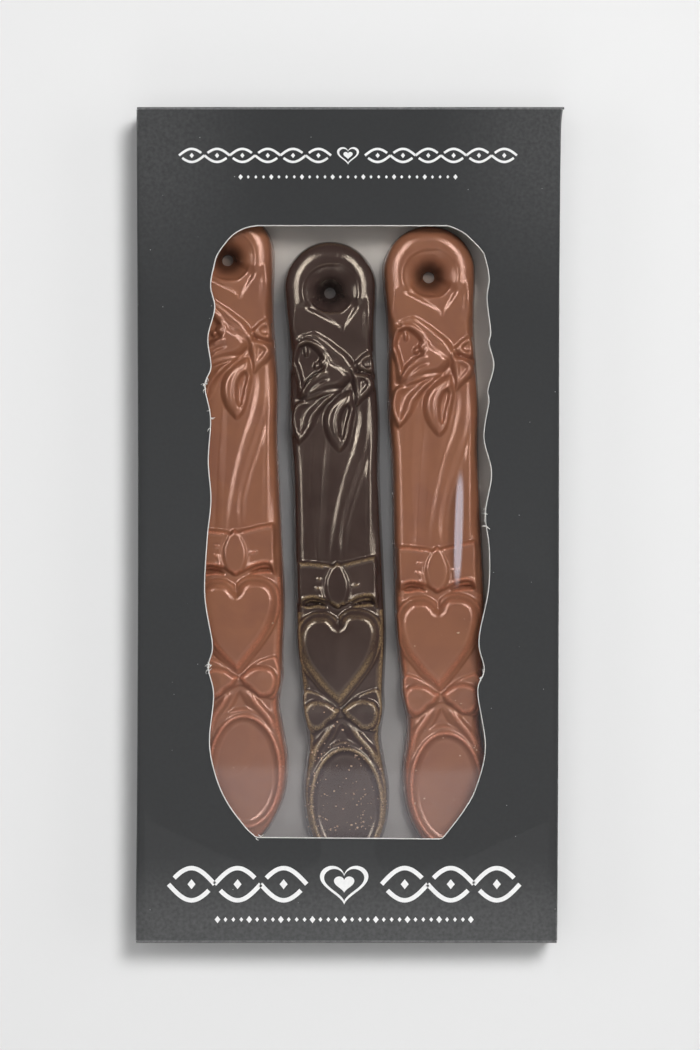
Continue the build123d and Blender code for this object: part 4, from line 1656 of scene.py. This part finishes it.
@dataclass
class WindowFilm:
    """The clear film behind the window, a thin sheet with slow waves and one small buckle, and painted
    reflections along the buckle and over its foot.
    """

    left: float = -45.2
    right: float = 45.9
    foot: float = -89.7
    head: float = 85.9
    top: float = 15.42
    thickness: float = 0.12
    spacing: Point = (0.3, 1.5)
    wave: float = 0.02
    wave_length: Point = (13.0, 23.0)
    wave_phase: float = 0.4
    buckle_at: Point = (28.9, -1.0)
    buckle_lean: float = 0.03
    buckle_size: Point = (1.3, 17.0)
    buckle_height: float = 0.16
    # Painted reflections: white laid along the buckle and, in two steps, over the foot.
    buckle_glare: float = 0.32
    buckle_edge: float = 4.0
    foot_glare_start: Point = (-24.0, -62.5)
    foot_glare_reach: Point = (40.0, 2.5)
    foot_glare_level: Point = (0.018, 0.015)

    def build(self, film: Material) -> None:
        """Make the sheet.

        Args:
            film: The film's material.
        """
        xs = np.linspace(self.left, self.right, round((self.right - self.left) / self.spacing[0]))
        ys = np.linspace(self.foot, self.head, round((self.head - self.foot) / self.spacing[1]))
        x, y = np.meshgrid(xs, ys)
        ripple = np.sin(x / self.wave_length[0] + self.wave_phase) * np.sin(y / self.wave_length[1])
        across = np.abs(x - self.buckle_at[0] - self.buckle_lean * y) / self.buckle_size[0]
        along = np.abs(y - self.buckle_at[1]) / self.buckle_size[1]
        buckle = (1 - ease(across)) * (1 - ease(along))
        points = points_at(x, y, self.top + self.wave * (ripple - 1) - self.buckle_height * buckle)
        sheet = make_piece("window_film_sheet", points.reshape(-1, 3), lattice(*x.shape), [film])
        # Mark the painted reflections for the film's finish.
        glare = self.buckle_glare * ease(self.buckle_edge * buckle)
        for start, reach, glare_level in zip(self.foot_glare_start, self.foot_glare_reach, self.foot_glare_level):
            glare = glare + glare_level * ease((start - y) / reach)
        mark(sheet, "worn", glare)
        thick = sheet.modifiers.new("thickness", "SOLIDIFY")
        thick.thickness = self.thickness * MM
        thick.offset = -1.0
        bake_modifiers(sheet)
        dress(sheet, Slot.FILM, "window_film")
        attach(sheet, "carton")


@dataclass
class EndClosure:
    """One end of the carton: lid, tuck and two dust flaps, with the creases between them."""

    stock: BoardStock
    sleeve: CartonSleeve
    end: End
    length: float = 109.0
    crease: float = 0.7
    crease_rub: float = 0.45
    lid_gap: float = 0.15
    lid_swell: float = 0.12
    lid_rows: int = 9
    ear: float = 0.4
    ear_reach: float = 4.0
    tuck_outer: float = 0.9
    tuck_half: float = 53.55
    tuck_length: float = 10.0
    tuck_lean: float = 3.0
    tuck_corner: float = 6.0
    tuck_rows: tuple[int, int] = (4, 9)
    dust_length: float = 22.0
    dust_low: float = 3.0
    dust_high: float = 14.7
    dust_rise: float = 0.05
    dust_taper: float = 15.0
    dust_face: float = 108.3
    dust_bend: float = 0.5
    dust_rows: int = 12
    dust_columns: int = 8
    columns: int = 61
    fold_points: int = 7
    bend_points: int = 5

    def name(self, part: str) -> str:
        """Name of a CAD node or body at this end."""
        return f"{self.end.name.lower()}_{part}"

    def sheet(self, name: str, rows: list[Array], rub: float = 0.0) -> Object:
        """Make a board sheet from rows of points that are given for the top end.

        Args:
            name: The piece's name.
            rows: Rows of points, each with the same number of points.
            rub: How far its print is rubbed.

        Returns:
            The sheet with its thickness on the inner side.
        """
        grid = np.stack(rows)
        points = grid.reshape(-1, 3) * (1, self.end.value, 1)
        faces = [f[::self.end.value] for f in lattice(*grid.shape[:2])]
        piece = make_piece(name, points, faces, self.stock.finishes())
        mark(piece, "worn", np.full(len(points), rub))
        thicken(piece, self.stock.thickness)
        return piece

    def place(self, y: float, z: float, x: float = 0.0) -> Place:
        """A point that is given for the top end in millimetres, in metres at this end."""
        return (x * MM, self.end.value * y * MM, z * MM)

    def build(self) -> None:
        """Build the lid, the tuck, the dust flaps and their creases."""
        left, right = (float(v[0]) for v in self.sleeve.edges(np.array([self.end.value * self.length])))
        xs = np.linspace(left + self.lid_gap, right - self.lid_gap, self.columns)
        ear = self.ear * ease((xs - right + self.ear_reach) / self.ear_reach)
        self.lid(xs, ear if self.end is End.TOP else 0 * xs)
        self.tuck(xs)
        for side, sign in (("left", -1), ("right", 1)):
            self.dust_flap(side, sign)

    def lid(self, xs: Array, ear: Array) -> None:
        """Build the lid and the crease between it and the front panel.

        Args:
            xs: X of the lid's columns.
            ear: How far each column spreads at the front crease.
        """
        r, front = self.crease, self.sleeve.depth
        start, inner, low = self.length - r, front - r, self.tuck_outer + r
        fold = [points_at(xs + ear, start + r * math.sin(t), inner + r * math.cos(t))
                for t in quarter_turn(self.fold_points)]
        crease = self.sheet(self.name("front_crease"), fold, self.crease_rub)
        self.name("lid")
        self.place(start, front)
        self.place(self.length, inner)
        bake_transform(crease)
        dress(crease, Slot.BOARD)
        swell = self.lid_swell * (1 - (xs / xs[-1]) ** 2)
        flat = []
        for z in np.linspace(inner, low, self.lid_rows):
            belly = swell * math.sin(math.pi * (inner - z) / (inner - low))
            flat.append(points_at(xs + ear * (z - low) / (inner - low), self.length + belly, z))
        lid = self.sheet(self.name("lid_board"), flat)
        dress(lid, Slot.BOARD, self.name("lid"))
        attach(lid, self.name("lid"))

    def tuck(self, xs: Array) -> None:
        """Build the tuck with its round corners, and the crease between it and the lid.

        Args:
            xs: X of the lid's columns.
        """
        r, corner = self.crease, self.tuck_corner
        start, low = self.length - r, self.tuck_outer + r
        tuck_xs = np.linspace(-self.tuck_half, self.tuck_half, self.columns)
        turns = quarter_turn(self.fold_points)
        bend = []
        for t in turns:
            share = t / turns[-1]
            row_x = xs * (1 - share) + tuck_xs * share
            bend.append(points_at(row_x, start + r * math.cos(t), low - r * math.sin(t)))
        crease = self.sheet(self.name("tuck_crease"), bend, self.crease_rub)
        self.name("lid")
        self.name("tuck")
        self.place(self.length, low)
        self.place(start, self.tuck_outer)
        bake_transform(crease)
        dress(crease, Slot.BOARD)
        straight = self.tuck_length - corner
        plain_rows, round_rows = self.tuck_rows
        rounding = self.tuck_length - corner * (1 - np.sin(quarter_turn(round_rows)))
        flap = []
        for reach in [*np.linspace(0, straight, plain_rows)[:-1], *rounding]:
            round_off = max(0.0, reach - self.tuck_length + corner)
            inset = corner - math.sqrt(max(0.0, corner ** 2 - round_off ** 2))
            row_x = tuck_xs * (self.tuck_half - inset) / self.tuck_half
            lift = self.tuck_outer + reach * math.sin(math.radians(self.tuck_lean))
            flap.append(points_at(row_x, start - reach, lift))
        tuck = self.sheet(self.name("tuck_board"), flap)
        dress(tuck, Slot.BOARD, self.name("tuck"))
        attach(tuck, self.name("tuck"))

    def dust_flap(self, side: str, sign: int) -> None:
        """Build one dust flap and its crease.

        Args:
            side: left or right.
            sign: The side's sign of X.
        """
        node = self.name(f"dust_flap_{side}")
        edges = self.sleeve.edges(np.array([self.end.value * self.dust_face]))
        outer = float(edges[0 if sign < 0 else 1][0])
        drop = math.tan(math.radians(self.dust_taper))
        bend, face = self.dust_bend, self.dust_face
        rows = []
        for reach in np.linspace(bend, self.dust_length, self.dust_rows):
            zs = np.linspace(self.dust_low + self.dust_rise * reach, self.dust_high - drop * reach,
                             self.dust_columns)
            rows.append(points_at(outer - sign * reach, face, zs))
        flap = self.sheet(self.name(f"dust_board_{side}"), rows[::-sign])
        dress(flap, Slot.BOARD, node)
        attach(flap, node)
        zs = np.linspace(self.dust_low, self.dust_high, self.dust_columns)
        rows = [points_at(outer - sign * bend * (1 - math.cos(t)), face - bend * (1 - math.sin(t)), zs)
                for t in quarter_turn(self.bend_points)]
        crease = self.sheet(self.name(f"dust_crease_{side}"), rows[::-sign], self.crease_rub)
        begin = self.place(face - bend, 0.0, outer)
        finish = self.place(face, 0.0, outer - sign * bend)
        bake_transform(crease)
        dress(crease, Slot.BOARD)


@dataclass
class PrintedBand:
    """A band of plain traditional ornament in white ink: a two-strand twist with a heart in the middle.

    Attributes:
        centre: Middle of the band.
        half_length: Half the twist's length.
        swing: How far a strand swings from the middle line.
        eye: Length of one eye of the twist.
        line: Width of a strand.
        heart: Height of the heart.
        row: Offset, half length and count of the row of lozenges under the twist, and a lozenge's half size.
        gap: Room that a strand leaves where it dips under, and half an eye's lozenge, in strand widths.
        accent: Which lozenges of the row are larger, as one in so many, and how many times.
        heart_room: Room from the heart's middle to the twist, in heart heights.
        heart_scale: Half the heart's width and height, in heart heights.
        heart_line: Scale of the heart's line, at which it is about as wide as a strand.
    """

    name: str
    centre: Point
    half_length: float
    swing: float
    eye: float
    line: float
    heart: float
    row: tuple[float, float, int, float]
    level: float = 15.93
    ink: float = 0.09
    gap: float = 0.9
    lozenge_height: float = 1.25
    accent: tuple[int, float] = (4, 1.5)
    heart_room: float = 0.85
    heart_scale: Point = (0.55, 0.52)
    heart_line: float = 1.7
    heart_core: float = 0.42
    heart_points: int = 72
    strand_points: int = 25
    sharp_angle: float = 30.0
    points: list[Array] = field(default_factory=list)
    faces: list[Face] = field(default_factory=list)

    def slab(self, upper: Array, faces: list[Face], rims: list[list[int]]) -> None:
        """Add a flat shape as a thin closed slab of ink.

        Args:
            upper: The shape's points.
            faces: Its faces, counter-clockwise.
            rims: Its boundary loops, with the shape on their left.
        """
        start, count = len(self.points), len(upper)
        top = points_at(*(upper + self.centre).T, self.level + self.ink)
        self.points += [*top, *(top - (0, 0, self.ink))]
        self.faces += [tuple(start + i for i in f) for f in faces]
        self.faces += [tuple(start + count + i for i in reversed(f)) for f in faces]
        for rim in rims:
            for a, b in zip(rim, rim[1:] + rim[:1]):
                self.faces.append((start + b, start + a, start + count + a, start + count + b))

    def ribbon(self, path: Array, width: float) -> None:
        """Add a line of even width along a path.

        Args:
            path: The path's points.
            width: The line's width.
        """
        step = np.gradient(path, axis=0)
        across = np.stack([-step[:, 1], step[:, 0]], axis=1)
        across *= 0.5 * width / np.linalg.norm(across, axis=1)[:, None]
        count = len(path)
        faces = [(i, count + i, count + i + 1, i + 1) for i in range(count - 1)]
        rim = [*range(count, 2 * count), *range(count - 1, -1, -1)]
        self.slab(np.vstack([path + across, path - across]), faces, [rim])

    def blot(self, outline: Array) -> None:
        """Add a filled shape."""
        around = list(range(len(outline)))
        self.slab(outline, [tuple(around)], [around])

    def lozenge(self, at: Point, half: float) -> None:
        """Add a small lozenge."""
        tall = self.lozenge_height * half
        self.blot(np.array([(half, 0), (0, tall), (-half, 0), (0, -tall)]) + at)

    def twist(self, begin: float, finish: float) -> None:
        """Add the two strands, each passing over and under in turn.

        Args:
            begin: X of the end by the heart.
            finish: X of the far end.
        """
        gap = self.gap * self.line
        way = 1 if finish > begin else -1
        share = np.linspace(0, 1, self.strand_points)
        for number in range(round(abs(finish - begin) / self.eye)):
            x = begin + way * self.eye * (number + share)
            arch = self.swing * np.sin(math.pi * share)
            for sign in (1, -1):
                # The strand that dips under at an eye's end stops short of the crossing.
                over_first = (number % 2 == 0) == (sign > 0)
                clear = (np.abs(x - x[0]) > gap) | over_first
                clear &= (np.abs(x - x[-1]) > gap) | (not over_first)
                path = np.stack([x, sign * arch], axis=1)[clear]
                self.ribbon(path[::way], self.line)
            self.lozenge(((x[0] + x[-1]) / 2, 0.0), gap)

    def outlined_heart(self) -> None:
        """Add a heart in outline with a small filled heart in it, by the usual formula for a heart."""
        turn = np.linspace(0, 2 * math.pi, self.heart_points, endpoint=False)[::-1]
        x = np.sin(turn) ** 3
        y = (13 * np.cos(turn) - 5 * np.cos(2 * turn) - 2 * np.cos(3 * turn) - np.cos(4 * turn)) / 17 + 0.1
        wide, tall = self.heart_scale
        outer = np.stack([x * self.heart * wide, y * self.heart * tall], axis=1)
        inner = outer * (1 - self.heart_line * self.line / self.heart)
        count = len(outer)
        rims = [list(range(count)), list(range(count, 2 * count))[::-1]]
        self.slab(np.vstack([outer, inner]), hoops(2, count), rims)
        self.blot(outer * self.heart_core)

    def build(self, ink: Material) -> None:
        """Print the band.

        Args:
            ink: The ink's material.
        """
        clear = self.heart_room * self.heart
        self.twist(clear, self.half_length)
        self.twist(-clear, -self.half_length)
        self.outlined_heart()
        offset, half, count, size = self.row
        every, larger = self.accent
        for i in range(count):
            at = (half * (2 * i / (count - 1) - 1), offset)
            self.lozenge(at, size * (1.0 if i % every else larger))
        band = make_piece(self.name, np.array(self.points), self.faces, [ink])
        sharpen(band, self.sharp_angle)
        dress(band, Slot.BOARD)
        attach(band, "carton")


@dataclass(frozen=True)
class SoftBox:
    """A rectangular studio lamp.

    Attributes:
        place: Where it stands, in metres.
        aim: What it points at, in metres.
        size: Width and height in metres.
        radiance: Brightness of its face, where 1 is the white of the picture.
        mirrored: Whether glossy surfaces show it.
        lighting: Whether it lights matt surfaces, or is seen in gloss only.
        through_film: Whether only what lies behind the film shows it, so that the film stays clear of glare.
        watts: Power per square metre at which Blender gives a lamp's face a radiance of 1.
        film_faces: Faces of the film that a ray behind it has passed, set between one and two.
    """

    name: str
    place: Place
    aim: Place
    size: Point
    radiance: float
    mirrored: bool = True
    lighting: bool = True
    through_film: bool = False
    watts: float = 4.0
    film_faces: float = 1.5

    def build(self) -> None:
        """Set the lamp up."""
        lamp = bpy.data.lights.new(self.name, "AREA")
        lamp.shape = "RECTANGLE"
        lamp.size, lamp.size_y = self.size
        lamp.energy = self.watts * self.radiance * self.size[0] * self.size[1]
        stand = bpy.data.objects.new(self.name, lamp)
        bpy.context.scene.collection.objects.link(stand)
        stand.location = self.place
        away = stand.location - Vector(self.aim)
        stand.rotation_euler = away.to_track_quat("Z", "Y").to_euler()
        stand.visible_camera = False
        stand.visible_glossy = self.mirrored
        stand.visible_diffuse = self.lighting
        if self.through_film:
            lamp.use_nodes = True
            tree = lamp.node_tree
            tree.nodes.clear()
            passed = add_node(tree, "LightPath").outputs["Transparent Depth"]
            behind = add_node(tree, "Math", {"operation": "GREATER_THAN", 0: passed, 1: self.film_faces})
            glow = add_node(tree, "Emission", {"Strength": behind})
            add_node(tree, "OutputLight", {"Surface": glow})


@dataclass
class Studio:
    """Floor, soft light and the camera straight over the carton."""

    floor_half: float = 4.0
    floor_points: int = 9
    floor_drop: float = 0.15
    room_colour: str = "#E8E8E8"
    room_level: float = 0.12
    room_gloss: float = 0.6
    overhead_dimming: float = 0.3
    camera_place: Place = (0.00052, 0.0, 0.776)
    lens: float = 100.0
    sensor: float = 36.0
    arch_rise: float = 54.0
    arch_reach: float = 1.4
    arch_size: Point = (0.31, 0.6)
    arch_lamps: tuple[Point, ...] = ((35.0, 14.0), (57.0, 14.0), (79.0, 10.0))
    middle: Place = (0.0, 0.0, 0.0)
    lamps: tuple[SoftBox, ...] = (
        SoftBox("key", (0.4, 0.52, 1.4), middle, (0.42, 0.42), 22.0, mirrored=False),
        SoftBox("ceiling", (0.0, 0.1, 1.5), middle, (1.4, 1.4), 0.9, mirrored=False),
        SoftBox("left_box", (-0.9, 0.05, 0.58), middle, (0.8, 0.45), 1.0, mirrored=False),
        SoftBox("right_box", (0.9, 0.05, 0.58), middle, (0.8, 0.45), 1.0, mirrored=False),
        SoftBox("foot_box", (0.0, -0.9, 0.7), middle, (0.6, 0.5), 0.95, mirrored=False),
        SoftBox("foot_panel", (0.0, -0.377, 0.776), (0.0, -0.377, 0.0), (0.9, 0.5), 0.6, lighting=False,
                through_film=True),
        SoftBox("foot_glow", (0.0, -0.425, 0.776), (0.0, -0.425, 0.0), (0.9, 0.5), 5.0, lighting=False),
    )

    def arch(self) -> list[SoftBox]:
        """Plan lamps for the chocolate's gloss, high up in an arch on either side of the carton's head.

        Returns:
            The lamps.
        """
        rise = math.radians(self.arch_rise)
        flat, high = self.arch_reach * math.cos(rise), self.arch_reach * math.sin(rise)
        lamps = []
        for side in (-1, 1):
            for number, (turn, radiance) in enumerate(self.arch_lamps):
                way = math.radians(turn)
                place = (side * flat * math.sin(way), flat * math.cos(way), high)
                lamps.append(SoftBox(f"arch_{side}_{number}", place, self.middle, self.arch_size, radiance,
                                     lighting=False, through_film=True))
        return lamps

    def build(self) -> None:
        """Build the stage."""
        self.floor()
        self.room()
        for lamp in [*self.lamps, *self.arch()]:
            lamp.build()
        self.camera()

    def floor(self) -> None:
        """Lay a pale matt floor just under the carton."""
        paint = PaintedFloor(wall=self.room_colour).build()
        steps = np.linspace(-self.floor_half, self.floor_half, self.floor_points) / MM
        points = points_at(*np.meshgrid(steps, steps), -self.floor_drop).reshape(-1, 3)
        floor = make_piece("studio_floor", points, lattice(self.floor_points, self.floor_points), [paint])

    def room(self) -> None:
        """Light the room evenly and dimly, and show its far walls as pale as the floor."""
        world = bpy.data.worlds.new("studio_room")
        bpy.context.scene.world = world
        world.use_nodes = True
        tree = world.node_tree
        tree.nodes.clear()
        way = add_node(tree, "TexCoord").outputs["Generated"]
        up = add_node(tree, "SeparateXYZ", {"Vector": way}).outputs["Z"]
        overhead = add_node(tree, "MapRange", {
            "From Min": 0.55, "From Max": 0.95, "To Min": self.room_level,
            "To Max": self.room_level * self.overhead_dimming, "Value": up})
        walls = add_node(tree, "MapRange", {"From Min": 0.45, "From Max": 0.12, "Value": up})
        pale = add_node(tree, "Math", {
            "operation": "MULTIPLY", 0: seen_ray(tree, self.room_gloss), 1: walls})
        level = add_node(tree, "Mix", {"data_type": "FLOAT", 0: pale, 2: overhead, 3: 1.0})
        glow = add_node(tree, "Background", {"Color": linear(self.room_colour), "Strength": level})
        add_node(tree, "OutputWorld", {"Surface": glow})

    def camera(self) -> None:
        """Hang the camera straight over the carton, its top towards +Y."""
        lens = bpy.data.cameras.new("camera")
        lens.sensor_fit = "VERTICAL"
        lens.sensor_width = lens.sensor_height = self.sensor
        lens.lens = self.lens
        camera = bpy.data.objects.new("camera", lens)
        bpy.context.scene.collection.objects.link(camera)
        camera.location = self.camera_place
        bpy.context.scene.camera = camera


def main() -> None:
    """Build every piece in order."""
    logging.basicConfig(level=logging.INFO, format="%(name)s: %(message)s")
    bpy.context.scene.view_settings.view_transform = "Standard"
    # Each chocolate's pale edge colour is partly scuff and partly painted highlight.
    milk = MouldedChocolate(
        "milk_chocolate_tempered_moulded", body="#8E5E45", cloud="#845540", scuff_and_sheen="#C07A5E",
        gloss_tint="#FFD9CC", roughness=0.22).build()
    dark = MouldedChocolate(
        "dark_chocolate_tempered_moulded", body="#392B28", cloud="#433430", scuff_and_sheen="#A08662",
        gloss_tint="#FFF0DA", roughness=0.18, hollow="#241B19").build()
    crumb = MouldedChocolate(
        "chocolate_crumb_broken", body="#C9A98C", cloud="#A98468", scuff_and_sheen="#D8C0A8", gloss_tint="#FFFFFF",
        roughness=0.6).build()
    stock = BoardStock(
        printed=LaminatedBoard().build(),
        inside=FibreBoard("boxboard_inside_uncoated", "#D9D5CD", "#C6C0B5", fibre_size=1.4).build(),
        core=FibreBoard("boxboard_cut_edge", "#E2E1DE", "#CDCAC4", fibre_size=0.5).build())
    mould = Mould()
    spoons = [
        ChocolateSpoon("left_spoon", Slot.MILK, LEFT_HOLE, lean=1.92, pinholes=[],
                       crumbs=Crumbs(count=14, seed=3, spread=55)),
        ChocolateSpoon("middle_spoon", Slot.DARK, MIDDLE_HOLE, lean=1.8,
                       pinholes=[(-8.3, -12.9, 0.35), (7.9, -23.5, 0.45)],
                       crumbs=Crumbs(count=230, seed=5, spread=34)),
        ChocolateSpoon("right_spoon", Slot.MILK, RIGHT_HOLE, lean=1.88,
                       pinholes=[(-8.1, -12.8, 0.5), (10.9, -17.0, 0.5)],
                       crumbs=Crumbs(count=44, seed=8, spread=55)),
    ]
    for spoon in spoons:
        spoon.cast(mould, dark if spoon.slot is Slot.DARK else milk)
        spoon.scatter(mould, crumb)
    SpoonTray().build(FormedSheet().build())
    sleeve = CartonSleeve(stock)
    sleeve.build()
    sleeve.fray()
    sleeve.glue_seam()
    WindowFilm().build(CastFilm().build())
    for end in End:
        EndClosure(stock, sleeve, end).build()
    ink = ScreenInk().build()
    PrintedBand("head_band", (0.0, 96.3), half_length=44.0, swing=1.7, eye=6.6, line=0.62, heart=5.2,
                row=(-5.6, 28.0, 29, 0.38)).build(ink)
    PrintedBand("foot_band", (-1.0, -93.6), half_length=44.5, swing=4.2, eye=12.0, line=1.15, heart=11.5,
                row=(-9.2, 33.0, 33, 0.5)).build(ink)
    Studio().build()
    LOG.info("all pieces built")


if __name__ == "__main__":
    main()
